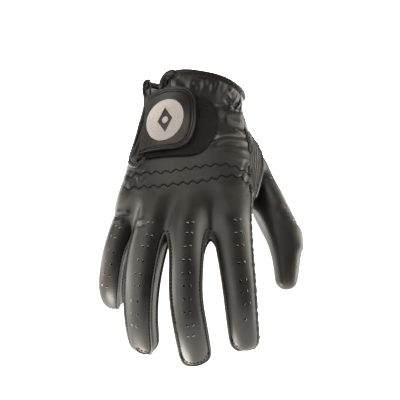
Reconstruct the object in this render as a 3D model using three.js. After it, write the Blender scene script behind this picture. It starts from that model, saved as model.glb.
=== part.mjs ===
// A right-hand sport glove of thin leather, shaped as it is when worn over a grip.
// Millimetres, +Z up, the back of the hand facing -Y, the thumb at +X, the origin at the
// middle of the wrist opening.

import * as THREE from 'three';

// Driving dimensions
const LEATHER_WALL = 1.2;
const KNIT_WALL = 1.4;
const BINDING_WALL = 2.2;
const BINDING_PROUD = 0.5;
const SEAM_GAP = 0.4;
const MITER_LIMIT = 6;
const SLIT_BINDING_WIDTH = 3.4;
const TAB_WALL = 1.5;
const PATCH_WALL = 0.9;
const BADGE_WALL = 0.6;
const TIP_LINE_SHARE = 0.42;

// Columns round the hand: four to each finger on the back, and four on the palm
const COLUMNS_PER_FINGER = 4;
const BACK_COLUMNS = 16;
const RADIAL_MIDDLE = BACK_COLUMNS + 1;
const PALM_START = RADIAL_MIDDLE + 1;
const ULNAR_MIDDLE = PALM_START + BACK_COLUMNS + 1;
const SLIT_COLUMN = ULNAR_MIDDLE + 1;
const RING_COLUMNS = SLIT_COLUMN + 1;

// Angles of the columns at a round wrist, in degrees from the thumb side
const RADIAL_EDGE_ANGLE = 32;
const ULNAR_EDGE_ANGLE = 138;
const PALM_EDGE_ANGLE = 148;
const SLIT_ANGLE = 157;
const WRIST_ROUNDNESS = 2.3;
const PALM_ROUNDNESS = 2.6;
const PALM_EDGE_SHARE = 0.95;
const SLIT_SHARE = -0.985;
const RISE_POWER = 3;

// Sections of the hand from the cuff to the web of the fingers: the number of face rows to the
// next section, the centre, the lean of the section, the slope down to the thumb side, the rise
// of the back's middle, the half width and depth, and how flat it is
const HAND_SECTIONS = [
  {
    name: 'cuff edge', rows: 1, x: 1, y: 0, z: -7.9,
    lean: 0, slope: 10, rise: 9.5, half: 33, depth: 23, flat: 0,
  },
  {
    name: 'binding', rows: 2, x: 0.5, y: 0, z: -12,
    lean: 0, slope: 10, rise: 9.5, half: 33, depth: 22.6, flat: 0,
  },
  {
    name: 'strap', rows: 3, x: -4.6, y: -3, z: -25,
    lean: 3, slope: 6, rise: 4, half: 36.8, depth: 22.5, flat: 0,
  },
  {
    name: 'wrist', rows: 4, x: -6.3, y: -7, z: -36,
    lean: 10, slope: 2, rise: 0, half: 41.3, depth: 22.5, flat: 0,
  },
  {
    name: 'heel', rows: 4, x: -6.3, y: -16, z: -48,
    lean: 28, slope: 0, rise: 0, half: 43.4, depth: 21.5, flat: 0.1,
  },
  {
    name: 'middle', rows: 2, x: -7, y: -32, z: -62,
    lean: 42, slope: 0, rise: 0, half: 45, depth: 19, flat: 0.35,
  },
  {
    name: 'back', rows: 2, x: -10, y: -52, z: -77,
    lean: 46, slope: 0, rise: 0, half: 45.6, depth: 17, flat: 0.7,
  },
  {
    name: 'knuckles', rows: 3, x: -12.5, y: -72, z: -92,
    lean: 46, slope: 0, rise: 0, half: 47, depth: 15.5, flat: 1,
  },
  {
    name: 'web', rows: 0, x: -13, y: -90, z: -108,
    lean: 40, slope: 0, rise: 0, half: 46, depth: 12, flat: 1,
  },
];
const KNUCKLE_SECTION = 7;
const SLIT_SECTION = 5;
const GUSSET_BULGE = 5.5;
const WEB_BLEND_POWER = 2;

// How far the little-finger side falls back, from the section before the back to the web
const ULNAR_DROP = [
  { name: 'middle', drop: 0 },
  { name: 'back', drop: 2 },
  { name: 'knuckles', drop: 8 },
  { name: 'web', drop: 16 },
];
const ULNAR_DROP_START = 5;

// Folds and gathers: where each lies, by section and column, how high it stands or how deep
// it sinks, its length in columns and its spread in sections
const FOLDS = [
  { name: 'wrist bulge', section: 3, column: 15, height: 2.4, length: 2.6, spread: 0.34 },
  { name: 'wrist crease', section: 3.95, column: 15, height: -1.6, length: 3.4, spread: 0.12 },
  { name: 'second ridge', section: 4.25, column: 15, height: 0.9, length: 3.2, spread: 0.12 },
  { name: 'second crease', section: 4.5, column: 15, height: -1.2, length: 3, spread: 0.1 },
  { name: 'third ridge', section: 4.75, column: 14.5, height: 0.7, length: 3, spread: 0.12 },
  { name: 'ulnar crease', section: 5.35, column: -1.5, height: -1.4, length: 1.6, spread: 0.14 },
  { name: 'little finger crease', section: 7.45, column: 0.8, height: -1.3, length: 1.8, spread: 0.14 },
];
const GATHER_HEIGHT = 0.7;
const GATHER_FIRST_SECTION = 1;
const GATHER_LAST_SECTION = 2;

// The palm side's lip of the slit stands off the wrist, from the cuff edge to the wrist section
const LIP_FLARE = [
  { name: 'cuff edge', out: 12.6, down: 2.4, back: 2 },
  { name: 'binding', out: 13.4, down: 3.6, back: 2 },
  { name: 'strap', out: 3.6, down: 0.4, back: 0.5 },
  { name: 'wrist', out: 0, down: 0, back: 0 },
];
const LIP_FLARE_SHARES = { lip: 1, ulnar: 0.45, palm: 0.12 };

// Fingers from the little one: the turn of the back of the finger away from the thumb, in
// degrees, and sections from the knuckle to the end of the tip
const FINGERS = [
  {
    name: 'little', width: 16.5, turn: 10, cap: 9,
    sections: [
      { name: 'knuckle', x: -47, y: -64, z: -99, half: 10.5, depth: 11 },
      { name: 'web', x: -50.6, y: -72, z: -110, half: 10, depth: 9.5 },
      { name: 'middle joint', x: -56.5, y: -80, z: -125, half: 7.9, depth: 8 },
      { name: 'end joint', x: -59.8, y: -79, z: -147, half: 7.6, depth: 7.4 },
      { name: 'tip', x: -59.2, y: -62, z: -162.5, half: 7.2, depth: 6.8 },
    ],
  },
  {
    name: 'ring', width: 20, turn: 24, cap: 10,
    sections: [
      { name: 'knuckle', x: -31.3, y: -78, z: -98, half: 12, depth: 13 },
      { name: 'web', x: -33, y: -89, z: -113.5, half: 11.6, depth: 11 },
      { name: 'base', x: -36.2, y: -97, z: -131, half: 11, depth: 9.8 },
      { name: 'middle joint', x: -38, y: -101.6, z: -148, half: 10.1, depth: 9.2 },
      { name: 'end joint', x: -38, y: -101.6, z: -166.6, half: 9.2, depth: 8.6 },
      { name: 'tip', x: -35.8, y: -93, z: -188.5, half: 8.6, depth: 8 },
    ],
  },
  {
    name: 'middle', width: 20.5, turn: 2, cap: 11,
    sections: [
      { name: 'knuckle', x: -7.9, y: -85, z: -97, half: 12.5, depth: 13 },
      { name: 'web', x: -9.4, y: -96, z: -111.5, half: 12, depth: 11.5 },
      { name: 'base', x: -9.6, y: -108, z: -128, half: 10.2, depth: 9.8 },
      { name: 'middle joint', x: -9.9, y: -114, z: -152.6, half: 9.7, depth: 9.2 },
      { name: 'end joint', x: -6.7, y: -112, z: -173, half: 9.8, depth: 8.8 },
      { name: 'tip', x: -3.4, y: -98, z: -194, half: 9.3, depth: 8.4 },
    ],
  },
  {
    name: 'index', width: 21.5, turn: 5, cap: 10,
    sections: [
      { name: 'knuckle', x: 18.5, y: -83, z: -97, half: 12.5, depth: 13 },
      { name: 'web', x: 19, y: -93, z: -109.5, half: 12.4, depth: 11.5 },
      { name: 'base', x: 21, y: -104, z: -130, half: 10.8, depth: 9.8 },
      { name: 'middle joint', x: 22.9, y: -109, z: -147, half: 10, depth: 9.2 },
      { name: 'end joint', x: 24.6, y: -108, z: -166, half: 9.3, depth: 8.8 },
      { name: 'tip', x: 27, y: -100, z: -185, half: 9, depth: 8.2 },
    ],
  },
];
const FINGER_RING = 12;
const FINGER_BODY_ROWS = 8;
const FINGER_CAP_ROWS = [0.62, 0.3, 0.08];
const TIP_SHARES = [-1, -0.5, 0, 0.5, 1];
const LENGTH_STEPS = 400;
const FINGER_ROUNDNESS = 2.4;
const BACK_SEAM_ANGLE = 22;
const PALM_SEAM_ANGLE = 30;

// Places round a finger: the back from 0, the side towards the thumb, the palm, the other side
const RADIAL_SIDE = COLUMNS_PER_FINGER + 1;
const PALM_RADIAL = RADIAL_SIDE + 1;
const PALM_ULNAR = PALM_RADIAL + COLUMNS_PER_FINGER;
const ULNAR_SIDE = PALM_ULNAR + 1;

// The backs of the fingers and the thumb's outer side lean towards the cuff
const BACK_LEAN = 0.5;
const THUMB_OUTER_LEAN = 0.35;

// The thumb: its hole in the hand, by row and column, and its sections
const THUMB_FIRST_ROW = 13;
const THUMB_LAST_ROW = 18;
const THUMB_COLUMNS = 3;
const THUMB_SECTIONS = [
  { name: 'root', x: 38, y: -24, z: -80, half: 14, depth: 14, blend: 0.45 },
  { name: 'ball', x: 44.5, y: -36, z: -91, half: 13, depth: 13.5, blend: 1 },
  { name: 'knuckle', x: 48.4, y: -50, z: -102, half: 12.6, depth: 12.4, blend: 1 },
  { name: 'joint', x: 54.2, y: -69, z: -117.5, half: 11.8, depth: 11, blend: 1 },
  { name: 'nail', x: 55.3, y: -74, z: -133, half: 9, depth: 9, blend: 1 },
  { name: 'tip', x: 54.8, y: -74, z: -151, half: 7.2, depth: 8, blend: 1 },
];
const THUMB_ROOT_RISE = 5;
const THUMB_BODY_ROWS = 8;
const THUMB_CAP = 6.5;
const THUMB_OUTER_PLACE = 14.5;

// The knit gusset beside the thumb seam, by row
const GUSSET_FIRST_ROW = 9;
const GUSSET_LAST_ROW = 18;

// The closing parts on the wrist, by row and column of the hand
const LOOP_PATCH_ROWS = [
  { row: 2.75, left: 2, right: 8.2 },
  { row: 2.95, left: 2, right: 9.4 },
  { row: 4.1, left: 2, right: 10.25 },
  { row: 7, left: 2, right: 10.5 },
  { row: 11, left: 2, right: 10.5 },
  { row: 13.2, left: 2, right: 10.2 },
  { row: 14.5, left: 2, right: 10 },
  { row: 15.3, left: 2.2, right: 9.6 },
  { row: 15.7, left: 3, right: 8.4 },
];
const TAB_ROWS = [
  { row: 2.25, left: 1.6, right: 5.2 },
  { row: 2.4, left: -0.1, right: 6.3 },
  { row: 2.65, left: -0.7, right: 6.8 },
  { row: 3.2, left: -0.7, right: 7.25 },
  { row: 4.7, left: -0.4, right: 7.5 },
  { row: 7.5, left: -0.1, right: 7.6 },
  { row: 10.5, left: 0.1, right: 7.65 },
  { row: 13, left: 0.55, right: 7.7 },
  { row: 14.3, left: 1, right: 7.7 },
  { row: 15, left: 1.3, right: 7.5 },
  { row: 15.4, left: 1.5, right: 6.7 },
];
const HOOK_PATCH_ROWS = [
  { row: 4, left: 4.4, right: 6.9 },
  { row: 13, left: 4.4, right: 6.9 },
];
const BADGE_ROWS = [
  { row: 3.6, left: 3, right: 4.2 },
  { row: 4.1, left: 1.9, right: 5.2 },
  { row: 5.1, left: 1.05, right: 5.9 },
  { row: 7.6, left: 0.8, right: 6.25 },
  { row: 10.7, left: 1.1, right: 6.35 },
  { row: 13, left: 1.9, right: 6.2 },
  { row: 14.3, left: 3, right: 5.8 },
  { row: 14.7, left: 4.1, right: 5.1 },
];
const PATCH_COLUMNS = { loop: 12, hook: 4, tab: 10, badge: 6 };
const PATCH_GAP = 0.35;
const MIN_ROW_STEP = 0.45;
const TAB_EDGE_PROUD = 1.6;
const TAB_RISE_COLUMNS = 3.4;

// Colours from the photograph
const LEATHER = { color: 0x2b2a29, roughness: 0.5, metalness: 0 };
const KNIT = { color: 0x3a3836, roughness: 0.85, metalness: 0 };
const HOOK_AND_LOOP = { color: 0x191818, roughness: 0.95, metalness: 0 };
const PALE_PRINT = { color: 0xd8d4d1, roughness: 0.6, metalness: 0 };

const radians = THREE.MathUtils.degToRad;
const mix = THREE.MathUtils.lerp;

// Tables

function cubicThrough(a, b, c, d, t) {
  const slopeB = (c - a) / 2;
  const slopeC = (d - b) / 2;
  const span = c - b;
  const square = t * t;
  const cube = square * t;
  const bend = 3 * span - 2 * slopeB - slopeC;
  const twist = slopeB + slopeC - 2 * span;
  return b + slopeB * t + bend * square + twist * cube;
}

function tableAt(rows, place) {
  const last = rows.length - 1;
  const start = Math.min(Math.floor(place), last - 1);
  const t = place - start;
  const rowAt = (index) => rows[THREE.MathUtils.clamp(index, 0, last)];
  const [a, b, c, d] = [-1, 0, 1, 2].map((step) => rowAt(start + step));
  const values = {};
  for (const key of Object.keys(b)) {
    if (typeof b[key] === 'number') {
      values[key] = cubicThrough(a[key], b[key], c[key], d[key], t);
    }
  }
  return values;
}

function signedPower(value, power) {
  return Math.sign(value) * Math.abs(value) ** power;
}

function superellipse(angle, half, depth, roundness) {
  return {
    across: half * signedPower(Math.cos(angle), 2 / roundness),
    out: depth * signedPower(Math.sin(angle), 2 / roundness),
  };
}

// Hand sections

const ROW_PLACES = HAND_SECTIONS.flatMap((section, index) => (
  Array.from({ length: section.rows }, (_, step) => index + step / section.rows)
)).concat(HAND_SECTIONS.length - 1);
const LAST_ROW = ROW_PLACES.length - 1;
const KNUCKLE_ROW = ROW_PLACES.indexOf(KNUCKLE_SECTION);
const SLIT_ROW = ROW_PLACES.indexOf(SLIT_SECTION);

function columnShares() {
  const edges = [0];
  for (const finger of FINGERS) {
    for (let step = 0; step < COLUMNS_PER_FINGER; step += 1) {
      edges.push(edges.at(-1) + finger.width / COLUMNS_PER_FINGER);
    }
  }
  return edges.map((edge) => PALM_EDGE_SHARE * (2 * edge / edges.at(-1) - 1));
}

const COLUMN_SHARES = columnShares();

function columnPlace(column) {
  if (column === SLIT_COLUMN) {
    return { angle: radians(SLIT_ANGLE), share: SLIT_SHARE, side: 1 };
  }
  if (column === ULNAR_MIDDLE) {
    return { angle: Math.PI, share: -1, side: 1 };
  }
  if (column === RADIAL_MIDDLE) {
    return { angle: 0, share: 1, side: 1 };
  }
  const onBack = column <= BACK_COLUMNS;
  const index = onBack ? column : BACK_COLUMNS - (column - PALM_START);
  const ulnarAngle = onBack ? ULNAR_EDGE_ANGLE : PALM_EDGE_ANGLE;
  const angle = radians(mix(ulnarAngle, RADIAL_EDGE_ANGLE, index / BACK_COLUMNS));
  return { angle: onBack ? angle : -angle, share: COLUMN_SHARES[index], side: onBack ? 1 : -1 };
}

function handFrame(section) {
  const lean = radians(section.lean);
  const dorsal = new THREE.Vector3(0, -Math.cos(lean), Math.sin(lean));
  const across = new THREE.Vector3(1, 0, 0).applyAxisAngle(dorsal, -radians(section.slope));
  return { centre: new THREE.Vector3(section.x, section.y, section.z), across, dorsal };
}

function ulnarDrop(sectionPlace, share) {
  const place = THREE.MathUtils.clamp(sectionPlace - ULNAR_DROP_START, 0, ULNAR_DROP.length - 1);
  return tableAt(ULNAR_DROP, place).drop * Math.max(0, -share) ** 2;
}

function bell(distance, spread) {
  return Math.exp(-((distance / spread) ** 2));
}

function foldHeight(sectionPlace, column) {
  const across = column >= ULNAR_MIDDLE ? column - RING_COLUMNS : column;
  let height = 0;
  for (const fold of FOLDS) {
    const along = bell(sectionPlace - fold.section, fold.spread);
    height += fold.height * along * bell(across - fold.column, fold.length);
  }
  if (sectionPlace > GATHER_FIRST_SECTION && sectionPlace < GATHER_LAST_SECTION) {
    height += GATHER_HEIGHT * (column % 2 === 0 ? 1 : -1);
  }
  return height;
}

function lipFlare(sectionPlace, column) {
  const shares = new Map([
    [SLIT_COLUMN, LIP_FLARE_SHARES.lip],
    [ULNAR_MIDDLE, LIP_FLARE_SHARES.ulnar],
    [ULNAR_MIDDLE - 1, LIP_FLARE_SHARES.palm],
  ]);
  const share = shares.get(column) ?? 0;
  const flare = tableAt(LIP_FLARE, Math.min(sectionPlace, LIP_FLARE.length - 1));
  return new THREE.Vector3(-flare.out, flare.back, -flare.down).multiplyScalar(share);
}

function gussetBulge(sectionPlace, column) {
  const span = ROW_PLACES[GUSSET_LAST_ROW] - ROW_PLACES[GUSSET_FIRST_ROW];
  const along = (sectionPlace - ROW_PLACES[GUSSET_FIRST_ROW]) / span;
  if (column !== RADIAL_MIDDLE || along <= 0 || along >= 1) {
    return 0;
  }
  return GUSSET_BULGE * Math.sin(Math.PI * along);
}

// A point of the hand as its section has it, and the way out of the hand there
function palmSpot(row, column) {
  const place = ROW_PLACES[row];
  const section = tableAt(HAND_SECTIONS, place);
  const { centre, across, dorsal } = handFrame(section);
  const spot = columnPlace(column);
  const round = superellipse(spot.angle, section.half, section.depth, WRIST_ROUNDNESS);
  const arch = (1 - Math.abs(spot.share) ** PALM_ROUNDNESS) ** (1 / PALM_ROUNDNESS);
  const flat = { across: section.half * spot.share, out: section.depth * arch * spot.side };
  const sideways = mix(round.across, flat.across, section.flat) + gussetBulge(place, column);
  const out = mix(round.out, flat.out, section.flat) - ulnarDrop(place, spot.share);
  const point = centre.addScaledVector(across, sideways).addScaledVector(dorsal, out);
  if (spot.side > 0) {
    point.z += section.rise * (1 - Math.abs(round.across / section.half) ** RISE_POWER);
  }
  const outward = across.multiplyScalar(sideways / section.half ** 2)
    .addScaledVector(dorsal, out / section.depth ** 2).normalize();
  point.addScaledVector(outward, foldHeight(place, column)).add(lipFlare(place, column));
  return { point, outward };
}

function palmPoint(row, column) {
  return palmSpot(row, column).point;
}

// Finger sections

function centreLine(sections) {
  const centres = sections.map((section) => new THREE.Vector3(section.x, section.y, section.z));
  return new THREE.CatmullRomCurve3(centres, false, 'centripetal');
}

function digitFrame(digit, place) {
  const last = digit.sections.length - 1;
  const t = THREE.MathUtils.clamp(place / last, 0, 1);
  const centre = digit.line.getPoint(t);
  const along = digit.line.getTangent(t);
  const dorsal = digit.dorsal.clone().addScaledVector(along, -digit.dorsal.dot(along)).normalize();
  const across = new THREE.Vector3().crossVectors(dorsal, along).normalize();
  return { centre, along, across, dorsal };
}

function capScale(digit, centre) {
  const left = centre.distanceTo(digit.end) / digit.cap;
  return left >= 1 ? 1 : Math.sqrt(Math.max(0, 1 - (1 - left) ** 2));
}

function digitPoint(digit, place, angle) {
  const { centre, across, dorsal } = digitFrame(digit, place);
  const section = tableAt(digit.sections, place);
  const scale = capScale(digit, centre);
  const spot = superellipse(angle, section.half * scale, section.depth * scale, FINGER_ROUNDNESS);
  return centre.clone().addScaledVector(across, spot.across).addScaledVector(dorsal, spot.out);
}

function placeAtLength(digit, wanted) {
  const index = digit.line.getLengths(LENGTH_STEPS).findIndex((length) => length >= wanted);
  return (index < 0 ? 1 : index / LENGTH_STEPS) * (digit.sections.length - 1);
}

function digitRows(digit, firstPlace, bodyRows) {
  const lengths = digit.line.getLengths(LENGTH_STEPS);
  const start = lengths[Math.round(firstPlace / (digit.sections.length - 1) * LENGTH_STEPS)];
  const total = lengths[LENGTH_STEPS];
  const capStart = total - digit.cap;
  const rows = [];
  for (let row = 1; row <= bodyRows; row += 1) {
    rows.push(placeAtLength(digit, mix(start, capStart, row / bodyRows)));
  }
  for (const share of FINGER_CAP_ROWS) {
    rows.push(placeAtLength(digit, total - digit.cap * share));
  }
  return rows;
}

function readyDigit(digit) {
  const turn = radians(digit.turn);
  const tip = digit.sections.at(-1);
  return {
    ...digit,
    line: centreLine(digit.sections),
    end: new THREE.Vector3(tip.x, tip.y, tip.z),
    dorsal: new THREE.Vector3(-Math.sin(turn), -Math.cos(turn), BACK_LEAN).normalize(),
  };
}

const DIGITS = FINGERS.map(readyDigit);

// Four faces on the back between the seams, four on the palm side, and two on each side
function fingerAngle(index) {
  if (index <= COLUMNS_PER_FINGER) {
    return radians(mix(180 - BACK_SEAM_ANGLE, BACK_SEAM_ANGLE, index / COLUMNS_PER_FINGER));
  }
  if (index === RADIAL_SIDE) {
    return 0;
  }
  if (index === ULNAR_SIDE) {
    return Math.PI;
  }
  const step = index - PALM_RADIAL;
  return -radians(mix(PALM_SEAM_ANGLE, 180 - PALM_SEAM_ANGLE, step / COLUMNS_PER_FINGER));
}

// The skin: one shared outer surface of tagged faces, which the pieces are cut from

class Skin {
  constructor() {
    this.points = [];
    this.faces = [];
    this.seams = new Set();
  }

  add(point) {
    this.points.push(point);
    return this.points.length - 1;
  }

  face(tag, ...corners) {
    const distinct = corners.filter((corner, i) => corner !== corners[(i + 1) % corners.length]);
    if (distinct.length >= 3) {
      this.faces.push({ tag, corners: distinct });
    }
  }

  seam(a, b) {
    this.seams.add(Math.min(a, b) + ':' + Math.max(a, b));
  }

  isSeam(a, b) {
    return this.seams.has(Math.min(a, b) + ':' + Math.max(a, b));
  }
}

function fingerOfColumn(index) {
  return Math.min(Math.floor(index / COLUMNS_PER_FINGER), FINGERS.length - 1);
}

// A point of the hand near the web, as the finger below it has it
function knucklePoint(row, column) {
  const place = (row - KNUCKLE_ROW) / (LAST_ROW - KNUCKLE_ROW);
  if (column === ULNAR_MIDDLE) {
    return digitPoint(DIGITS[0], place, Math.PI);
  }
  if (column === RADIAL_MIDDLE) {
    return digitPoint(DIGITS[3], place, 0);
  }
  const onBack = column <= BACK_COLUMNS;
  const index = onBack ? column : BACK_COLUMNS - (column - PALM_START);
  const finger = fingerOfColumn(index);
  const step = index - finger * COLUMNS_PER_FINGER;
  const ringIndex = (wanted) => (onBack ? wanted : PALM_ULNAR - wanted);
  const point = digitPoint(DIGITS[finger], place, fingerAngle(ringIndex(step)));
  if (step === 0 && finger > 0) {
    const other = digitPoint(DIGITS[finger - 1], place, fingerAngle(ringIndex(COLUMNS_PER_FINGER)));
    point.add(other).multiplyScalar(0.5);
  }
  return point;
}

function isWebColumn(column) {
  return column > 0 && column < BACK_COLUMNS && column % COLUMNS_PER_FINGER === 0;
}

function handPoint(row, column) {
  if (row <= KNUCKLE_ROW) {
    return palmPoint(row, column);
  }
  const share = (row - KNUCKLE_ROW) / (LAST_ROW - KNUCKLE_ROW);
  const smooth = share * share * (3 - 2 * share);
  const blend = isWebColumn(column) ? smooth ** WEB_BLEND_POWER : smooth;
  return palmPoint(row, column).lerp(knucklePoint(row, column), blend);
}

function addHandRows(skin) {
  const ids = [];
  for (let row = 0; row <= LAST_ROW; row += 1) {
    const ring = [];
    for (let column = 0; column < SLIT_COLUMN; column += 1) {
      ring.push(skin.add(handPoint(row, column)));
    }
    ring.push(row <= SLIT_ROW + 1 ? skin.add(handPoint(row, SLIT_COLUMN)) : ring[0]);
    ids.push(ring);
  }
  return ids;
}

function inThumbHole(row, column) {
  const inRows = row >= THUMB_FIRST_ROW && row < THUMB_LAST_ROW;
  return inRows && column >= RADIAL_MIDDLE && column < RADIAL_MIDDLE + THUMB_COLUMNS;
}

function handTag(row, column) {
  if (row === 0) {
    return 'cuff_binding';
  }
  const inGusset = column === BACK_COLUMNS && row >= GUSSET_FIRST_ROW && row < GUSSET_LAST_ROW;
  return inGusset ? 'stretch_gusset' : 'hand_panel';
}

function addHandFaces(skin, ids) {
  for (let row = 0; row < LAST_ROW; row += 1) {
    for (let column = 0; column < RING_COLUMNS; column += 1) {
      const next = (column + 1) % RING_COLUMNS;
      const inSlit = column === SLIT_COLUMN && row <= SLIT_ROW;
      if (!inSlit && !inThumbHole(row, column)) {
        const [upper, lower] = [ids[row], ids[row + 1]];
        skin.face(handTag(row, column), upper[column], lower[column], lower[next], upper[next]);
      }
    }
    if (row > 0) {
      skin.seam(ids[row][BACK_COLUMNS], ids[row + 1][BACK_COLUMNS]);
    }
  }
}

// The folded tape along both lips of the slit, joined below it
function addSlitBinding(skin, ids) {
  const lips = [];
  for (let row = 0; row <= SLIT_ROW; row += 1) {
    const palmEdge = ids[row][SLIT_COLUMN];
    const backEdge = ids[row][0];
    const towardsBack = skin.points[backEdge].clone().sub(skin.points[palmEdge]).normalize();
    const palmLip = skin.add(skin.points[palmEdge].clone().addScaledVector(towardsBack, SLIT_BINDING_WIDTH));
    const backLip = skin.add(skin.points[backEdge].clone().addScaledVector(towardsBack, -SLIT_BINDING_WIDTH));
    lips.push({ palmEdge, palmLip, backLip, backEdge });
  }
  for (let row = 0; row < SLIT_ROW; row += 1) {
    const [here, below] = [lips[row], lips[row + 1]];
    skin.face('slit_binding', here.palmEdge, below.palmEdge, below.palmLip, here.palmLip);
    skin.face('slit_binding', here.backLip, below.backLip, below.backEdge, here.backEdge);
  }
  const end = lips[SLIT_ROW];
  const foot = ids[SLIT_ROW + 1];
  skin.face('slit_binding', end.palmEdge, foot[SLIT_COLUMN], end.palmLip);
  skin.face('slit_binding', end.palmLip, foot[SLIT_COLUMN], foot[0], end.backLip);
  skin.face('slit_binding', end.backLip, foot[0], end.backEdge);
}

function webRing(skin, ids, webMiddles, finger) {
  const first = finger * COLUMNS_PER_FINGER;
  const web = ids[LAST_ROW];
  const ring = [];
  for (let step = 0; step <= COLUMNS_PER_FINGER; step += 1) {
    ring.push(web[first + step]);
  }
  ring.push(finger === FINGERS.length - 1 ? web[RADIAL_MIDDLE] : webMiddles[finger + 1]);
  for (let step = COLUMNS_PER_FINGER; step >= 0; step -= 1) {
    ring.push(web[PALM_START + BACK_COLUMNS - first - step]);
  }
  ring.push(finger === 0 ? web[ULNAR_MIDDLE] : webMiddles[finger]);
  return ring;
}

function fingerTag(finger, index) {
  const radialSide = index === COLUMNS_PER_FINGER || index === RADIAL_SIDE;
  const ulnarSide = index === PALM_ULNAR || index === ULNAR_SIDE;
  if (radialSide && finger < FINGERS.length - 1) {
    return 'fourchette_' + FINGERS[finger].name + '_' + FINGERS[finger + 1].name;
  }
  if (ulnarSide && finger > 0) {
    return 'fourchette_' + FINGERS[finger - 1].name + '_' + FINGERS[finger].name;
  }
  return 'hand_panel';
}

// The end of a finger, closed along one short seamed line
function addTip(skin, ring, tipPoints, tagOf) {
  const tips = tipPoints.map((point) => skin.add(point));
  for (let step = 0; step < COLUMNS_PER_FINGER; step += 1) {
    const palm = PALM_ULNAR - 1 - step;
    skin.face(tagOf(step), ring[step], tips[step], tips[step + 1], ring[step + 1]);
    skin.face(tagOf(palm), ring[palm], tips[step + 1], tips[step], ring[palm + 1]);
    skin.seam(tips[step], tips[step + 1]);
  }
  const [ulnarTip, radialTip] = [tips[0], tips[COLUMNS_PER_FINGER]];
  skin.face(tagOf(COLUMNS_PER_FINGER), ring[COLUMNS_PER_FINGER], radialTip, ring[RADIAL_SIDE]);
  skin.face(tagOf(RADIAL_SIDE), ring[RADIAL_SIDE], radialTip, ring[PALM_RADIAL]);
  skin.face(tagOf(PALM_ULNAR), ring[PALM_ULNAR], ulnarTip, ring[ULNAR_SIDE]);
  skin.face(tagOf(ULNAR_SIDE), ring[ULNAR_SIDE], ulnarTip, ring[0]);
  return tips;
}

function addFinger(skin, ids, webMiddles, finger) {
  const digit = DIGITS[finger];
  const rings = [webRing(skin, ids, webMiddles, finger)];
  for (const place of digitRows(digit, 1, FINGER_BODY_ROWS)) {
    const ring = [];
    for (let index = 0; index < FINGER_RING; index += 1) {
      ring.push(skin.add(digitPoint(digit, place, fingerAngle(index))));
    }
    rings.push(ring);
  }
  const seamed = finger === FINGERS.length - 1;
  for (let row = 0; row < rings.length - 1; row += 1) {
    for (let index = 0; index < FINGER_RING; index += 1) {
      const next = (index + 1) % FINGER_RING;
      const [upper, lower] = [rings[row], rings[row + 1]];
      skin.face(fingerTag(finger, index), upper[index], lower[index], lower[next], upper[next]);
    }
    if (seamed) {
      skin.seam(rings[row][COLUMNS_PER_FINGER], rings[row + 1][COLUMNS_PER_FINGER]);
    }
  }
  const { across } = digitFrame(digit, digit.sections.length - 1);
  const reach = digit.sections.at(-1).half * TIP_LINE_SHARE;
  const tipPoints = TIP_SHARES.map((share) => digit.end.clone().addScaledVector(across, reach * share));
  const tips = addTip(skin, rings.at(-1), tipPoints, (index) => fingerTag(finger, index));
  if (seamed) {
    skin.seam(rings.at(-1)[COLUMNS_PER_FINGER], tips[COLUMNS_PER_FINGER]);
  }
}

// The thumb grows out of its hole in the hand

function thumbHoleLoop() {
  const first = RADIAL_MIDDLE;
  const last = RADIAL_MIDDLE + THUMB_COLUMNS;
  const loop = [];
  for (let row = THUMB_FIRST_ROW; row < THUMB_LAST_ROW; row += 1) {
    loop.push({ row, column: first });
  }
  for (let column = first; column < last; column += 1) {
    loop.push({ row: THUMB_LAST_ROW, column });
  }
  for (let row = THUMB_LAST_ROW; row > THUMB_FIRST_ROW; row -= 1) {
    loop.push({ row, column: last });
  }
  for (let column = last; column > first; column -= 1) {
    loop.push({ row: THUMB_FIRST_ROW, column });
  }
  return loop;
}

function thumbFrame(thumb, place) {
  const last = thumb.sections.length - 1;
  const t = THREE.MathUtils.clamp(place / last, 0, 1);
  const along = thumb.line.getTangent(t);
  const outer = new THREE.Vector3(1, 0, THUMB_OUTER_LEAN);
  outer.addScaledVector(along, -outer.dot(along)).normalize();
  const front = new THREE.Vector3().crossVectors(outer, along).normalize().negate();
  return { centre: thumb.line.getPoint(t), outer, front };
}

function thumbPoint(thumb, place, index, count) {
  const { centre, outer, front } = thumbFrame(thumb, place);
  const section = tableAt(thumb.sections, place);
  const scale = capScale(thumb, centre);
  const angle = 2 * Math.PI * (index - THUMB_OUTER_PLACE) / count;
  const spot = superellipse(angle, section.half * scale, section.depth * scale, FINGER_ROUNDNESS);
  return centre.clone().addScaledVector(outer, spot.across).addScaledVector(front, spot.out);
}

function addThumb(skin, ids) {
  const thumb = readyDigit({ sections: THUMB_SECTIONS, turn: 0, cap: THUMB_CAP });
  const hole = thumbHoleLoop();
  const count = hole.length;
  const rings = [hole.map(({ row, column }) => ids[row][column])];
  for (const place of [0, ...digitRows(thumb, 0, THUMB_BODY_ROWS)]) {
    const blend = Math.min(1, tableAt(THUMB_SECTIONS, place).blend);
    const ring = [];
    for (let index = 0; index < count; index += 1) {
      const point = thumbPoint(thumb, place, index, count);
      const { row, column } = hole[index];
      const root = skin.points[ids[row][column]].clone();
      root.addScaledVector(palmSpot(row, column).outward, THUMB_ROOT_RISE);
      ring.push(skin.add(root.lerp(point, blend)));
    }
    rings.push(ring);
  }
  for (let row = 0; row < rings.length - 1; row += 1) {
    for (let index = 0; index < count; index += 1) {
      const next = (index + 1) % count;
      const [upper, lower] = [rings[row], rings[row + 1]];
      skin.face('thumb_piece', upper[index], upper[next], lower[next], lower[index]);
    }
  }
  const end = skin.add(thumb.end.clone());
  const last = rings.at(-1);
  for (let index = 0; index < count; index += 1) {
    skin.face('thumb_piece', last[index], last[(index + 1) % count], end);
  }
}

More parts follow.
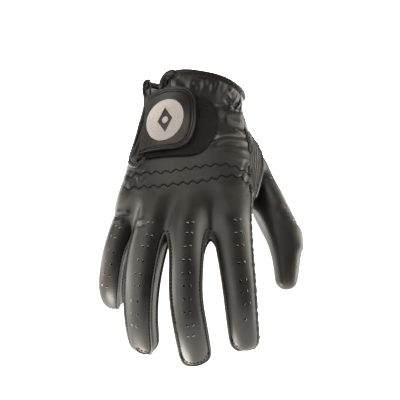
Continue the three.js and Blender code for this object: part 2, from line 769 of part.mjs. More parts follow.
function buildSkin() {
  const skin = new Skin();
  const ids = addHandRows(skin);
  addHandFaces(skin, ids);
  addSlitBinding(skin, ids);
  const webMiddles = [null];
  for (let web = 1; web < FINGERS.length; web += 1) {
    const oneSide = digitPoint(DIGITS[web - 1], 1, 0);
    const otherSide = digitPoint(DIGITS[web], 1, Math.PI);
    webMiddles.push(skin.add(oneSide.lerp(otherSide, 0.5)));
  }
  for (let finger = 0; finger < FINGERS.length; finger += 1) {
    addFinger(skin, ids, webMiddles, finger);
  }
  addThumb(skin, ids);
  return { skin, ids };
}

// Pieces cut from the skin

function cornerNormal(skin, corners) {
  const normal = new THREE.Vector3();
  for (let i = 0; i < corners.length; i += 1) {
    const a = skin.points[corners[i]];
    const b = skin.points[corners[(i + 1) % corners.length]];
    normal.add(new THREE.Vector3().crossVectors(a, b));
  }
  return normal;
}

function skinNormals(skin) {
  const normals = skin.points.map(() => new THREE.Vector3());
  for (const face of skin.faces) {
    const normal = cornerNormal(skin, face.corners).normalize();
    for (const corner of face.corners) {
      normals[corner].add(normal);
    }
  }
  return normals.map((normal) => normal.normalize());
}

// Corners that meet round a point without crossing a seam share one vertex
function splitVertices(skin, faces) {
  const parents = [];
  const firstCorner = [];
  let count = 0;
  for (const face of faces) {
    firstCorner.push(count);
    count += face.corners.length;
  }
  for (let i = 0; i < count; i += 1) {
    parents.push(i);
  }
  const rootOf = (corner) => {
    let root = corner;
    while (parents[root] !== root) {
      root = parents[root];
    }
    return root;
  };
  const open = new Map();
  faces.forEach((face, f) => {
    face.corners.forEach((a, i) => {
      const j = (i + 1) % face.corners.length;
      const b = face.corners[j];
      const twin = open.get(b + ':' + a);
      if (twin && !skin.isSeam(a, b)) {
        parents[rootOf(firstCorner[f] + i)] = rootOf(twin.end);
        parents[rootOf(firstCorner[f] + j)] = rootOf(twin.start);
        twin.joined = true;
      }
      const joined = Boolean(twin) && !skin.isSeam(a, b);
      open.set(a + ':' + b, { start: firstCorner[f] + i, end: firstCorner[f] + j, joined });
    });
  });
  return { rootOf, firstCorner, edges: [...open.values()] };
}

// How far a border vertex draws back, so that both of its border edges draw back alike
function borderShift(sides, distance) {
  if (sides.length < 2) {
    return new THREE.Vector3();
  }
  const [a, b] = sides;
  const miter = Math.min(1 / (1 + a.dot(b)), MITER_LIMIT);
  return a.clone().add(b).multiplyScalar(distance * miter);
}

function panelSolid(skin, normals, tag, wall, proud = 0) {
  const faces = skin.faces.filter((face) => face.tag === tag);
  const { rootOf, firstCorner, edges } = splitVertices(skin, faces);
  const vertices = new Map();
  faces.forEach((face, f) => {
    face.corners.forEach((corner, i) => {
      const root = rootOf(firstCorner[f] + i);
      if (!vertices.has(root)) {
        vertices.set(root, { corner, sides: [], index: vertices.size });
      }
    });
  });
  for (const edge of edges.filter((candidate) => !candidate.joined)) {
    const [a, b] = [vertices.get(rootOf(edge.start)), vertices.get(rootOf(edge.end))];
    const run = skin.points[b.corner].clone().sub(skin.points[a.corner]);
    for (const end of [a, b]) {
      end.sides.push(new THREE.Vector3().crossVectors(normals[end.corner], run).normalize());
    }
  }
  const positions = [];
  for (const { corner, sides } of vertices.values()) {
    const normal = normals[corner];
    const shift = borderShift(sides, SEAM_GAP / 2);
    const outer = skin.points[corner].clone().add(shift).addScaledVector(normal, proud);
    const inner = outer.clone().addScaledVector(normal, -wall);
    positions.push(...outer.toArray(), ...inner.toArray());
  }
  const outerOf = (cornerIndex) => vertices.get(rootOf(cornerIndex)).index * 2;
  const triangles = [];
  faces.forEach((face, f) => {
    const outer = face.corners.map((_, i) => outerOf(firstCorner[f] + i));
    for (let i = 1; i < outer.length - 1; i += 1) {
      triangles.push(outer[0], outer[i], outer[i + 1]);
      triangles.push(outer[0] + 1, outer[i + 1] + 1, outer[i] + 1);
    }
  });
  for (const edge of edges.filter((candidate) => !candidate.joined)) {
    const a = outerOf(edge.start);
    const b = outerOf(edge.end);
    // Both pieces at a seam fold their rims along the same diagonal
    if (vertices.get(rootOf(edge.start)).corner < vertices.get(rootOf(edge.end)).corner) {
      triangles.push(b, a, b + 1, a, a + 1, b + 1);
    } else {
      triangles.push(b, a, a + 1, b, a + 1, b + 1);
    }
  }
  return solidGeometry(positions, triangles);
}

function solidGeometry(positions, triangles) {
  const geometry = new THREE.BufferGeometry();
  geometry.setAttribute('position', new THREE.Float32BufferAttribute(positions, 3));
  geometry.setIndex(triangles);
  geometry.computeVertexNormals();
  return geometry;
}

function piece(name, geometry, material) {
  const mesh = new THREE.Mesh(geometry, new THREE.MeshStandardMaterial(material));
  mesh.name = name;
  return mesh;
}

// Patches laid on the hand, given by row and column

function onSkin(skin, normals, ids, row, column, proud) {
  const wrapped = column < 0 ? column + RING_COLUMNS : column;
  const row0 = Math.floor(row);
  const column0 = Math.floor(wrapped);
  const down = row - row0;
  const right = wrapped - column0;
  const point = new THREE.Vector3();
  const normal = new THREE.Vector3();
  for (const [r, shareDown] of [[row0, 1 - down], [row0 + 1, down]]) {
    for (const [c, shareRight] of [[column0, 1 - right], [(column0 + 1) % RING_COLUMNS, right]]) {
      const id = ids[r][c];
      point.addScaledVector(skin.points[id], shareDown * shareRight);
      normal.addScaledVector(normals[id], shareDown * shareRight);
    }
  }
  return { point: point.addScaledVector(normal.normalize(), proud), normal };
}

// A slab on a grid of skin places; each place is { row, column, proud }
function slabSolid(surface, grid, wall) {
  const rows = grid.length;
  const columns = grid[0].length;
  const positions = [];
  for (const { row, column, proud } of grid.flat()) {
    const { point, normal } = onSkin(surface.skin, surface.normals, surface.ids, row, column, proud);
    positions.push(...point.clone().addScaledVector(normal, wall).toArray(), ...point.toArray());
  }
  const top = (r, c) => 2 * (r * columns + c);
  const triangles = [];
  const quad = (a, b, c, d) => triangles.push(a, b, c, a, c, d);
  for (let r = 0; r < rows - 1; r += 1) {
    for (let c = 0; c < columns - 1; c += 1) {
      quad(top(r, c), top(r + 1, c), top(r + 1, c + 1), top(r, c + 1));
      quad(top(r, c) + 1, top(r, c + 1) + 1, top(r + 1, c + 1) + 1, top(r + 1, c) + 1);
    }
  }
  const border = [];
  for (let r = 0; r < rows - 1; r += 1) {
    border.push([top(r, 0), top(r + 1, 0)], [top(r + 1, columns - 1), top(r, columns - 1)]);
  }
  for (let c = 0; c < columns - 1; c += 1) {
    border.push([top(rows - 1, c), top(rows - 1, c + 1)], [top(0, c + 1), top(0, c)]);
  }
  for (const [a, b] of border) {
    quad(b, a, a + 1, b + 1);
  }
  return solidGeometry(positions, triangles);
}

// The table's own rows, with every whole row of the hand between them
function patchRows(table) {
  const first = Math.ceil(table[0].row);
  const last = Math.floor(table.at(-1).row);
  const wanted = table.map((entry) => entry.row);
  for (let row = first; row <= last; row += 1) {
    if (wanted.every((other) => Math.abs(other - row) > MIN_ROW_STEP)) {
      wanted.push(row);
    }
  }
  wanted.sort((a, b) => a - b);
  return wanted.map((row) => {
    const next = Math.max(1, table.findIndex((entry) => entry.row >= row));
    const [above, below] = [table[next - 1], table[next]];
    const share = (row - above.row) / (below.row - above.row);
    const left = mix(above.left, below.left, share);
    const right = mix(above.right, below.right, share);
    return { row, left, right };
  });
}

function patchGrid(table, columns, proudAt) {
  return patchRows(table).map(({ row, left, right }) => (
    Array.from({ length: columns + 1 }, (_, step) => {
      const column = mix(left, right, step / columns);
      return { row, column, proud: proudAt(column) };
    })
  ));
}

function tabProud(column) {
  const top = 3 * PATCH_GAP + 2 * PATCH_WALL;
  const rise = THREE.MathUtils.smoothstep(column, 0, TAB_RISE_COLUMNS);
  return mix(TAB_EDGE_PROUD, top, rise);
}

const { skin, ids } = buildSkin();
const normals = skinNormals(skin);
const surface = { skin, normals, ids };
const group = new THREE.Group();
const addPanel = (name, wall, material, proud) => {
  group.add(piece(name, panelSolid(skin, normals, name, wall, proud), material));
};
const addPatch = (name, rows, columns, proudAt, wall, material) => {
  group.add(piece(name, slabSolid(surface, patchGrid(rows, columns, proudAt), wall), material));
};
addPanel('hand_panel', LEATHER_WALL, LEATHER);
for (let web = 1; web < FINGERS.length; web += 1) {
  addPanel('fourchette_' + FINGERS[web - 1].name + '_' + FINGERS[web].name, LEATHER_WALL, LEATHER);
}
addPanel('thumb_piece', LEATHER_WALL, LEATHER);
addPanel('stretch_gusset', KNIT_WALL, KNIT);
addPanel('cuff_binding', BINDING_WALL, LEATHER, BINDING_PROUD);
addPanel('slit_binding', BINDING_WALL, LEATHER, BINDING_PROUD);
const hookProud = () => 2 * PATCH_GAP + PATCH_WALL;
const badgeProud = (column) => tabProud(column) + TAB_WALL + PATCH_GAP;
addPatch('loop_patch', LOOP_PATCH_ROWS, PATCH_COLUMNS.loop, () => PATCH_GAP, PATCH_WALL, HOOK_AND_LOOP);
addPatch('tab_hook_patch', HOOK_PATCH_ROWS, PATCH_COLUMNS.hook, hookProud, PATCH_WALL, HOOK_AND_LOOP);
addPatch('closure_tab', TAB_ROWS, PATCH_COLUMNS.tab, tabProud, TAB_WALL, LEATHER);
addPatch('badge', BADGE_ROWS, PATCH_COLUMNS.badge, badgeProud, BADGE_WALL, PALE_PRINT);

export default group;
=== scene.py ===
import math
import random

import bmesh
import bpy
import numpy as np
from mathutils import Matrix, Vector
from mathutils.bvhtree import BVHTree
from mathutils.kdtree import KDTree


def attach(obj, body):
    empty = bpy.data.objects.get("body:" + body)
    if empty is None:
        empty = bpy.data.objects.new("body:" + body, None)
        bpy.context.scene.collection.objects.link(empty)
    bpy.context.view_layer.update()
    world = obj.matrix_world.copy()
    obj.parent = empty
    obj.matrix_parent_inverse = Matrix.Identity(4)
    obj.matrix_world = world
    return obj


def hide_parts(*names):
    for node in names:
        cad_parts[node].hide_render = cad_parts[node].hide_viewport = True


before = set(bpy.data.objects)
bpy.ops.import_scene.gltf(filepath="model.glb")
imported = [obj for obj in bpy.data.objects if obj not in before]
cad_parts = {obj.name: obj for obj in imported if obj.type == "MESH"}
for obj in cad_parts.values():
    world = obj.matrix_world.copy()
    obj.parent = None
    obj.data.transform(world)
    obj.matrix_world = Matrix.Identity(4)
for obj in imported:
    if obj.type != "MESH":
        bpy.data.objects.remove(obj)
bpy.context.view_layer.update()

scene = bpy.context.scene
MM = 0.001

# The camera stands where the photograph was taken, level with the back of the hand.
# A ray through a pixel of the 400 by 400 photograph starts from it.
CAMERA_PLACE = Vector((-1.5, -586, -92)) * MM
PHOTO_SIZE = 400
FOCAL_PIXELS = 780
SENSOR_WIDTH = 36

camera = bpy.data.objects.new("camera", bpy.data.cameras.new("camera"))
camera.data.sensor_width = SENSOR_WIDTH
camera.data.lens = FOCAL_PIXELS / PHOTO_SIZE * SENSOR_WIDTH
camera.location = CAMERA_PLACE
camera.rotation_euler = (math.radians(90), 0, 0)
camera.data.clip_start = 0.01
scene.collection.objects.link(camera)
scene.camera = camera


def photo_ray(pixel):
    """The direction from the camera through a pixel of the photograph."""
    across = (pixel[0] - PHOTO_SIZE / 2) / FOCAL_PIXELS
    down = (pixel[1] - PHOTO_SIZE / 2) / FOCAL_PIXELS
    return Vector((across, 1, -down)).normalized()


# The studio is a pale floor, overexposed as in the photograph. The surround is bright behind and
# at the left and dark in front. Soft lights stand at the upper left, the left, the front left,
# the top and the right. A small panel lights the wrist and another the bent ends of the fingers.
# Each light has its place, the place that it aims at, its width and height in metres and its watts.
FLOOR_HEIGHT = -330 * MM
FLOOR_SIZE = 12
FLOOR_BACK = 5.45
FLOOR_GLOW = 1.0
LIGHT_COLOUR = (1, 0.94, 0.86)
SURROUND_BEHIND = 4.5
SURROUND_LEFT = 2.4
SURROUND_FRONT = 0.07
SURROUND_OVERHEAD = 0.06
LIGHTS = [
    ("key_light", (-0.75, -0.6, 0.6), (0, -0.05, -0.08), 0.9, 0.9, 6),
    ("left_window", (-0.65, -0.12, -0.16), (-0.02, -0.05, -0.12), 0.3, 0.45, 3.2),
    ("front_window", (-0.4, -0.62, -0.12), (0, -0.08, -0.14), 0.35, 0.35, 0.9),
    ("top_light", (-0.12, -0.02, 0.72), (0, -0.05, -0.08), 0.5, 0.42, 1.3),
    ("right_window", (0.6, 0.02, 0.04), (0.03, -0.06, -0.08), 0.4, 0.8, 7.5),
    ("wrist_panel", (0.27, -0.21, 0.11), (0.021, -0.029, -0.036), 0.16, 0.16, 0.3),
    ("low_panel", (-0.09, -0.09, -0.31), (-0.06, -0.09, -0.1), 0.09, 0.12, 0.5),
]


def node_tree(owner):
    """Empties the nodes of a material or a world, and says how to add a node and how to link two."""
    owner.use_nodes = True
    tree = owner.node_tree
    tree.nodes.clear()

    def add(kind, **values):
        node = tree.nodes.new("ShaderNode" + kind)
        for name, value in values.items():
            if name.startswith("in_"):
                node.inputs[name[3:].replace("_", " ")].default_value = value
            else:
                setattr(node, name, value)
        return node

    def link(source, output, target, socket):
        tree.links.new(source.outputs[output], target.inputs[socket])

    return add, link


bpy.ops.object.select_all(action="DESELECT")
bpy.ops.mesh.primitive_plane_add(size=FLOOR_SIZE, location=(0, FLOOR_BACK, FLOOR_HEIGHT))
floor = bpy.context.object
floor.name = "floor"
floor_material = bpy.data.materials.new("pale_floor")
add, link = node_tree(floor_material)
floor_shader = add("BsdfPrincipled", in_Base_Color=(0.9, 0.89, 0.88, 1), in_Roughness=0.6,
                   in_Emission_Color=(1, 0.985, 0.97, 1), in_Emission_Strength=FLOOR_GLOW)
link(floor_shader, "BSDF", add("OutputMaterial"), "Surface")
floor.data.materials.append(floor_material)

world = bpy.data.worlds.new("studio")
scene.world = world
add, link = node_tree(world)
direction = add("TexCoord")
split = add("SeparateXYZ")
behind = add("MapRange", in_From_Min=0.0, in_From_Max=0.55, in_To_Max=SURROUND_BEHIND)
sideways = add("MapRange", in_From_Min=-0.95, in_From_Max=-0.2,
               in_To_Min=SURROUND_LEFT, in_To_Max=SURROUND_FRONT)
overhead = add("MapRange", in_From_Min=0.1, in_From_Max=0.5, in_To_Min=1, in_To_Max=SURROUND_OVERHEAD)
strength = add("Math", operation="ADD")
shaded = add("Math", operation="MULTIPLY")
background = add("Background", in_Color=(1, 0.965, 0.92, 1))
link(direction, "Generated", split, 0)
link(split, "Y", behind, "Value")
link(split, "X", sideways, "Value")
link(split, "Z", overhead, "Value")
link(behind, 0, strength, 0)
link(sideways, 0, strength, 1)
link(strength, 0, shaded, 0)
link(overhead, 0, shaded, 1)
link(shaded, 0, background, "Strength")
link(background, 0, add("OutputWorld"), "Surface")

for name, place, aim, width, height, power in LIGHTS:
    light = bpy.data.objects.new(name, bpy.data.lights.new(name, "AREA"))
    light.data.shape = "RECTANGLE"
    light.data.size = width
    light.data.size_y = height
    light.data.energy = power
    light.data.color = LIGHT_COLOUR
    light.location = place
    light.rotation_euler = (Vector(aim) - Vector(place)).to_track_quat("-Z", "Y").to_euler()
    scene.collection.objects.link(light)
scene.view_settings.view_transform = "Standard"

# The hand panel is one skin of soft black leather for the back, the palm and the backs of the
# fingers, folded round the little-finger side and closed by outseams.
# Its sheet is taken from the outer side of the solid, subdivided, worked and given a wall again.
LEATHER_WALL = 1.2 * MM
LEATHER_DARK = (0.0085, 0.0072, 0.006, 1)
LEATHER_LIGHT = (0.017, 0.0145, 0.0125, 1)
LEATHER_ROUGHNESS = 0.42
GRAIN_SIZE = 0.75 * MM
SHEET_LEVELS = 2
MERGE_REACH = 1e-6
WALL_TOLERANCE = 2e-6
FLAT_TURN = math.radians(70)
CREASE_ANGLE = 50
TOWARDS_CAMERA = 0.3


def pick(piece):
    """Selects one piece alone, for the operators that follow."""
    bpy.ops.object.select_all(action="DESELECT")
    piece.select_set(True)
    bpy.context.view_layer.objects.active = piece


def outer_sheet(node_name, wall, piece_name, levels=SHEET_LEVELS):
    """The outer side of a CAD wall, as an open, finely divided sheet of its own."""
    sheet = bpy.data.objects.new(piece_name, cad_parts[node_name].data.copy())
    scene.collection.objects.link(sheet)
    sheet.data.materials.clear()
    pick(sheet)
    bpy.ops.mesh.customdata_custom_splitnormals_clear()
    mesh = bmesh.new()
    mesh.from_mesh(sheet.data)
    bmesh.ops.remove_doubles(mesh, verts=mesh.verts, dist=MERGE_REACH)
    rim = {face for edge in mesh.edges if abs(edge.calc_length() - wall) < WALL_TOLERANCE
           for face in edge.link_faces}
    bmesh.ops.delete(mesh, geom=list(rim), context="FACES")
    sides = islands(mesh)
    sides.sort(key=lambda side: sum(face.calc_area() for face in side))
    bmesh.ops.delete(mesh, geom=[face for side in sides[:-1] for face in side], context="FACES")
    bmesh.ops.join_triangles(mesh, faces=mesh.faces, angle_face_threshold=FLAT_TURN,
                             angle_shape_threshold=math.pi)
    mesh.to_mesh(sheet.data)
    mesh.free()
    smoother = sheet.modifiers.new("smooth", "SUBSURF")
    smoother.levels = smoother.render_levels = levels
    smoother.boundary_smooth = "PRESERVE_CORNERS"
    bpy.ops.object.modifier_apply(modifier="smooth")
    return sheet


def pixel_of(place):
    """The pixel of the photograph that shows a place."""
    ray = Vector(place) - CAMERA_PLACE
    return (PHOTO_SIZE / 2 + FOCAL_PIXELS * ray.x / ray.y, PHOTO_SIZE / 2 - FOCAL_PIXELS * ray.z / ray.y)


# Boxes of the photograph, as left, top, right and bottom pixels. The cuff and wrist, the zigzags
# and the web of the little finger are divided once more. The leather under the cuff and the bulge
# are evened out, in a number of rounds.
FINE_BOXES = [(148, 66, 254, 158), (118, 156, 254, 196), (104, 208, 160, 234)]
SMOOTH_BOXES = [((173, 76, 250, 100), 10), ((216, 113, 252, 130), 35)]


def shown_in(place, box):
    x, y = pixel_of(place)
    left, top, right, bottom = box
    return left < x < right and top < y < bottom


def refine(piece, boxes):
    """Divides a sheet's faces that face the camera inside some boxes once more."""
    mesh = bmesh.new()
    mesh.from_mesh(piece.data)
    edges = set()
    for face in mesh.faces:
        centre = face.calc_center_median()
        if face.normal.y < TOWARDS_CAMERA and any(shown_in(centre, box) for box in boxes):
            edges.update(face.edges)
    bmesh.ops.subdivide_edges(mesh, edges=list(edges), cuts=1, use_grid_fill=True, smooth=0)
    mesh.to_mesh(piece.data)
    mesh.free()


def smooth_boxes(piece, boxes):
    """Evens out a sheet inside some boxes, but not its borders."""
    mesh = bmesh.new()
    mesh.from_mesh(piece.data)
    for box, rounds in boxes:
        chosen = [point for point in mesh.verts if not point.is_boundary and shown_in(point.co, box)]
        for _ in range(rounds):
            bmesh.ops.smooth_vert(mesh, verts=chosen, factor=0.5,
                                  use_axis_x=True, use_axis_y=True, use_axis_z=True)
    mesh.to_mesh(piece.data)
    mesh.free()


def islands(mesh):
    """The faces of a mesh in groups that hang together."""
    left = set(mesh.faces)
    groups = []
    while left:
        start = left.pop()
        group, stack = [start], [start]
        while stack:
            for edge in stack.pop().edges:
                for face in edge.link_faces:
                    if face in left:
                        left.remove(face)
                        group.append(face)
                        stack.append(face)
        groups.append(group)
    return groups


def points_of(piece):
    """A mesh's points and the way out at each, as arrays."""
    count = len(piece.data.vertices)
    places = np.empty(count * 3)
    piece.data.vertices.foreach_get("co", places)
    normals = np.empty(count * 3, np.float32)
    piece.data.vertex_normals.foreach_get("vector", normals)
    return places.reshape(-1, 3), normals.reshape(-1, 3).astype(float)


def move_points(piece, places):
    piece.data.vertices.foreach_set("co", places.ravel())
    piece.data.update()


def tree_of(piece):
    """A search tree of the faces of a finished mesh."""
    mesh = bmesh.new()
    mesh.from_mesh(piece.data)
    found = BVHTree.FromBMesh(mesh)
    mesh.free()
    return found


def spread_evenly(values, line, step, least=2):
    """Values at the points of a line, taken at an even step along it."""
    lengths = np.concatenate([[0], np.cumsum(np.linalg.norm(np.diff(line, axis=0), axis=1))])
    wanted = np.linspace(0, lengths[-1], max(least, int(round(lengths[-1] / step)) + 1))
    return np.stack([np.interp(wanted, lengths, column) for column in values.T], axis=1)


def resampled(points, step):
    """The same line with points at an even step."""
    line = np.array([tuple(point) for point in points])
    return spread_evenly(line, line, step)


def smooth_pixels(pixels, step=1.0):
    """A smooth line through pixels, as points about one pixel apart."""
    corners = [Vector((x, y, 0)) for x, y in pixels]
    if len(corners) == 2:
        return [(p[0], p[1]) for p in resampled(corners, step)]
    ends = [2 * corners[0] - corners[1]] + corners + [2 * corners[-1] - corners[-2]]
    line = []
    for a, b, c, d in zip(ends, ends[1:], ends[2:], ends[3:]):
        for share in np.linspace(0, 1, 12, endpoint=False):
            line.append(0.5 * (2 * b + (c - a) * share + (2 * a - 5 * b + 4 * c - d) * share ** 2
                               + (3 * b - a - 3 * c + d) * share ** 3))
    line.append(corners[-1])
    return [(p[0], p[1]) for p in resampled(line, step)]


def seen_on(pixels, skin):
    """Where the camera's rays through the pixels meet a skin, with the way out there."""
    found = []
    for pixel in pixels:
        place, normal, _, _ = skin.ray_cast(CAMERA_PLACE, photo_ray(pixel))
        if place is not None:
            if normal.dot(photo_ray(pixel)) > 0:
                normal = -normal
            found.append((place, normal))
    return found


def search_of(numbered, count):
    """A search for the nearest of some (number, place) pairs."""
    search = KDTree(count)
    for number, place in numbered:
        search.insert(place, number)
    search.balance()
    return search


def work_line(piece, line, height, width, taper=0.25):
    """Raises or sinks a sheet along a line, fading out at the line's two ends."""
    search = search_of(enumerate(line), len(line))
    places, normals = points_of(piece)
    for index in range(len(places)):
        _, nearest, distance = search.find(places[index])
        if distance > 2.5 * width:
            continue
        share = nearest / max(1, len(line) - 1)
        fade = min(1, min(share, 1 - share) / taper + 0.15) if taper else 1
        places[index] += normals[index] * (height * fade * math.exp(-((distance / width) ** 2)))
    move_points(piece, places)


# Ridges and creases of the back and the wrist: pixels of the photograph that each runs
# through, its height (below nought for a crease) and its width, both in millimetres
FOLDS = [
    # the tendons and the valleys between them
    ([(224, 182), (222, 200), (226, 226)], 1.1, 6.5),
    ([(186, 188), (183, 205), (186, 228)], 0.8, 6),
    ([(160, 190), (155, 205), (148, 222)], 0.7, 6),
    ([(133, 192), (126, 205), (121, 214)], 0.7, 5),
    ([(204, 190), (203, 205), (206, 220)], -0.4, 5),
    ([(172, 192), (169, 205), (168, 224)], -0.4, 5),
    # the bulge at the wrist and the folds round it
    ([(219, 117.5), (232, 116), (243, 118.5)], 3.3, 5.4),
    ([(240.5, 100), (240.5, 109), (242.5, 118)], 1.5, 4),
    ([(216, 133.5), (224, 130.5), (236, 130), (248, 134)], -1.5, 1.1),
    ([(212, 139), (220, 132.5), (232, 131), (247, 134.5)], 1.1, 1.2),
    ([(211, 142), (222, 136.5), (234, 135.5), (248, 138)], -1.1, 1.1),
    ([(209, 145), (223, 140.5), (235, 140), (248, 143)], 1.1, 1.2),
    ([(212, 148), (226, 144.5), (248, 147)], -0.9, 1.1),
    ([(220, 148.5), (234, 149), (249, 152.5)], 0.7, 1.3),
    ([(226, 156), (238, 158), (249, 160)], 0.5, 1.3),
    ([(216, 104.5), (227, 107), (242, 112.5)], -1.8, 1.3),
    # puckers beside the cuff
    ([(227, 94), (233, 101), (243, 104)], 1.2, 1.0),
    ([(228, 108), (235, 101), (238, 92)], 1.2, 0.9),
    ([(235, 110), (240, 104), (243, 98)], 1.0, 0.8),
    ([(229, 91), (236, 88), (241, 91)], 0.8, 0.9),
    ([(224, 99), (232, 105), (240, 111)], -1.2, 0.8),
    ([(232, 110), (238, 104), (241, 96)], -1.0, 0.7),
    # rolls and the loop of the cuff
    ([(172, 84), (178, 77), (185, 74)], 0.5, 1.1),
    ([(190, 84), (197, 78), (204, 77)], 0.5, 1.2),
    ([(166, 86), (165, 79), (169, 75), (172, 80), (170, 87)], 0.7, 0.8),
    # the base of the little finger
    ([(108, 215), (117, 217), (131, 216)], -1.1, 0.8),
    ([(110, 211), (119, 212.5), (130, 212)], 1.0, 1.7),
    ([(110, 222), (116, 221), (124, 221)], 0.7, 1.8),
    ([(136, 227), (140, 224.5), (146, 223.5)], -1.2, 0.8),
    ([(135, 223), (140, 221), (146, 220)], 0.8, 1.1),
    # the foot of the slit
    ([(124, 168), (134, 171.5), (148, 172)], -1.1, 1.0),
    ([(122, 173), (133, 175.5), (146, 175)], 0.8, 1.3),
    ([(123, 181), (130, 179), (136, 182)], 0.6, 1.0),
    # the ends of the zigzag rows
    ([(230, 163), (240, 167), (250, 171)], 0.4, 0.9),
    ([(236, 172), (244, 175), (250, 180)], 0.4, 0.9),
    ([(238, 181), (245, 185), (250, 190)], 0.3, 1.0),
]
THUMB_FOLDS = [
    ([(281, 214), (288, 220), (296, 228)], -0.4, 1.6),
    ([(296, 224), (299, 239), (297, 252)], 2.4, 6.5),
    ([(263, 180), (273, 198), (281, 213)], 2.2, 7),
]


def fold_sheet(piece, folds):
    for pixels, height, width in folds:
        line = [place for place, _ in seen_on(smooth_pixels(pixels), tree_of(piece))]
        if len(line) > 1:
            work_line(piece, line, height * MM, width * MM)


# Gathers: the elastic under the cuff and the wrist pulls the leather into small upright puckers.
# Each lies in an oval: its middle pixel, half its width and height, and the puckers' height in mm.
GATHER_OVALS = [
    ((200, 84), 44, 10, 0.6),
    ((168, 80), 11, 10, 0.6),
    ((237, 100), 9, 14, 0.35),
    ((246, 172), 8, 14, 0.22),
    ((134, 181), 12, 9, 0.3),
]


def gather_sheet(piece, ovals, seed):
    """Small irregular puckers inside soft-edged ovals, on the side that the photograph shows."""
    draw = random.Random(seed)
    places, normals = points_of(piece)
    waves = [(draw.uniform(0.3, 0.95), draw.uniform(-0.45, 0.45), draw.uniform(0, 6.28))
             for _ in range(6)]
    for index, (place, normal) in enumerate(zip(places, normals)):
        if normal[1] > 0.25:
            continue
        x, y = pixel_of(place)
        for centre, half_width, half_height, height in ovals:
            reach = ((x - centre[0]) / half_width) ** 2 + ((y - centre[1]) / half_height) ** 2
            if reach < 1:
                ripple = sum(math.sin(x * pitch + y * lean + phase) for pitch, lean, phase in waves)
                places[index] += normal * height * MM * ripple * 0.45 * (1 - reach) ** 0.6
    move_points(piece, places)


# The two rows of zigzag stitches over the elastic tapes: the pixels that each runs through, how
# far it swings to either side and the length of one full zigzag, both in pixels
ZIGZAG_ROWS = [
    [(126, 177), (134, 175.5), (144, 173), (165, 172), (185, 169), (205, 166), (220, 164.5),
     (230, 165.5), (240, 169), (249, 174)],
    [(124, 189), (140, 187), (160, 186), (180, 183.5), (200, 181.5), (210, 180), (220, 177),
     (230, 176), (240, 177.5), (249, 184)],
]
ZIGZAG_REACH = 1.6
ZIGZAG_LENGTH = 10
ZIGZAG_DEPTH = 0.4 * MM
ZIGZAG_WIDTH = 0.75 * MM
ZIGZAG_PUCKER = 0.25 * MM


def zigzag_pixels(pixels):
    """The stitched zigzag about a row's own line, one point at each turn."""
    line = smooth_pixels(pixels, ZIGZAG_LENGTH / 2)
    return [(x, y + (ZIGZAG_REACH if index % 2 else -ZIGZAG_REACH))
            for index, (x, y) in enumerate(line)]


def groove_sheet(piece, rows):
    """Presses the zigzag rows into a sheet, between low banks."""
    for pixels in rows:
        turns = zigzag_pixels(pixels)
        dense = [pixel for pair in zip(turns, turns[1:])
                 for pixel in resampled([Vector((*pair[0], 0)), Vector((*pair[1], 0))], 0.7)]
        line = [place for place, _ in seen_on(dense, tree_of(piece))]
        work_line(piece, line, ZIGZAG_PUCKER, 2.4 * ZIGZAG_WIDTH, 0)
        work_line(piece, line, -ZIGZAG_DEPTH - ZIGZAG_PUCKER, ZIGZAG_WIDTH, 0)


def give_wall(piece, wall, offset=-1):
    """Gives an open sheet its thickness, inwards unless the offset says otherwise."""
    pick(piece)
    thick = piece.modifiers.new("wall", "SOLIDIFY")
    thick.thickness = wall
    thick.offset = offset
    bpy.ops.object.modifier_apply(modifier="wall")
    bpy.ops.object.shade_smooth_by_angle(angle=math.radians(CREASE_ANGLE), keep_sharp_edges=False)


def make_material(name, colours, textures, bump, blend=None, spread=None, gloss=None, **values):
    """A material in the piece's own coordinates, from (kind, output, settings) textures. Its relief is
    the first texture, blended with the second. Its colour goes between two with the relief, or with
    the last texture over a spread, and so does its gloss."""
    material = bpy.data.materials.new(name)
    add, link = node_tree(material)
    place = add("TexCoord")
    shader = add("BsdfPrincipled", **values)
    made = []
    for kind, output, settings in textures:
        texture = add(kind, **settings)
        link(place, "Object", texture, "Vector")
        made.append((texture, output))
    relief = made[0]
    if blend:
        mixed = add("Mix", data_type="FLOAT", in_Factor=blend)
        link(*made[0], mixed, 2)
        link(*made[1], mixed, 3)
        relief = (mixed, 0)
    shade = relief
    if spread:
        ranged = add("MapRange", in_From_Min=spread[0], in_From_Max=spread[1])
        link(*made[-1], ranged, "Value")
        shade = (ranged, 0)
    if gloss:
        rough = add("MapRange", in_To_Min=gloss[0], in_To_Max=gloss[1])
        link(*shade, rough, "Value")
        link(rough, 0, shader, "Roughness")
    if colours:
        colour = add("Mix", data_type="RGBA")
        colour.inputs[6].default_value, colour.inputs[7].default_value = colours
        link(*shade, colour, "Factor")
        link(colour, 2, shader, "Base Color")
    bumps = add("Bump", **bump)
    link(*relief, bumps, "Height")
    link(bumps, "Normal", shader, "Normal")
    link(shader, "BSDF", add("OutputMaterial"), "Surface")
    return material


def leather_material(name, dark, light, roughness, specular=0.5):
    """Soft gloving leather: a pebbled grain, faint blotches and a low, slightly uneven gloss."""
    pebbles = dict(feature="SMOOTH_F1", in_Scale=1 / GRAIN_SIZE, in_Smoothness=0.6)
    fine = dict(in_Scale=0.45 / GRAIN_SIZE, in_Detail=5, in_Roughness=0.6)
    blotches = dict(in_Scale=60, in_Detail=3, in_Roughness=0.55)
    textures = [("TexVoronoi", "Distance", pebbles), ("TexNoise", "Fac", fine),
                ("TexNoise", "Fac", blotches)]
    bump = dict(in_Strength=0.35, in_Distance=0.12 * MM)
    return make_material(name, (dark, light), textures, bump, blend=0.55, spread=(0.3, 0.7),
                         gloss=(roughness - 0.05, roughness + 0.07),
                         in_IOR=1.48, in_Specular_IOR_Level=specular)


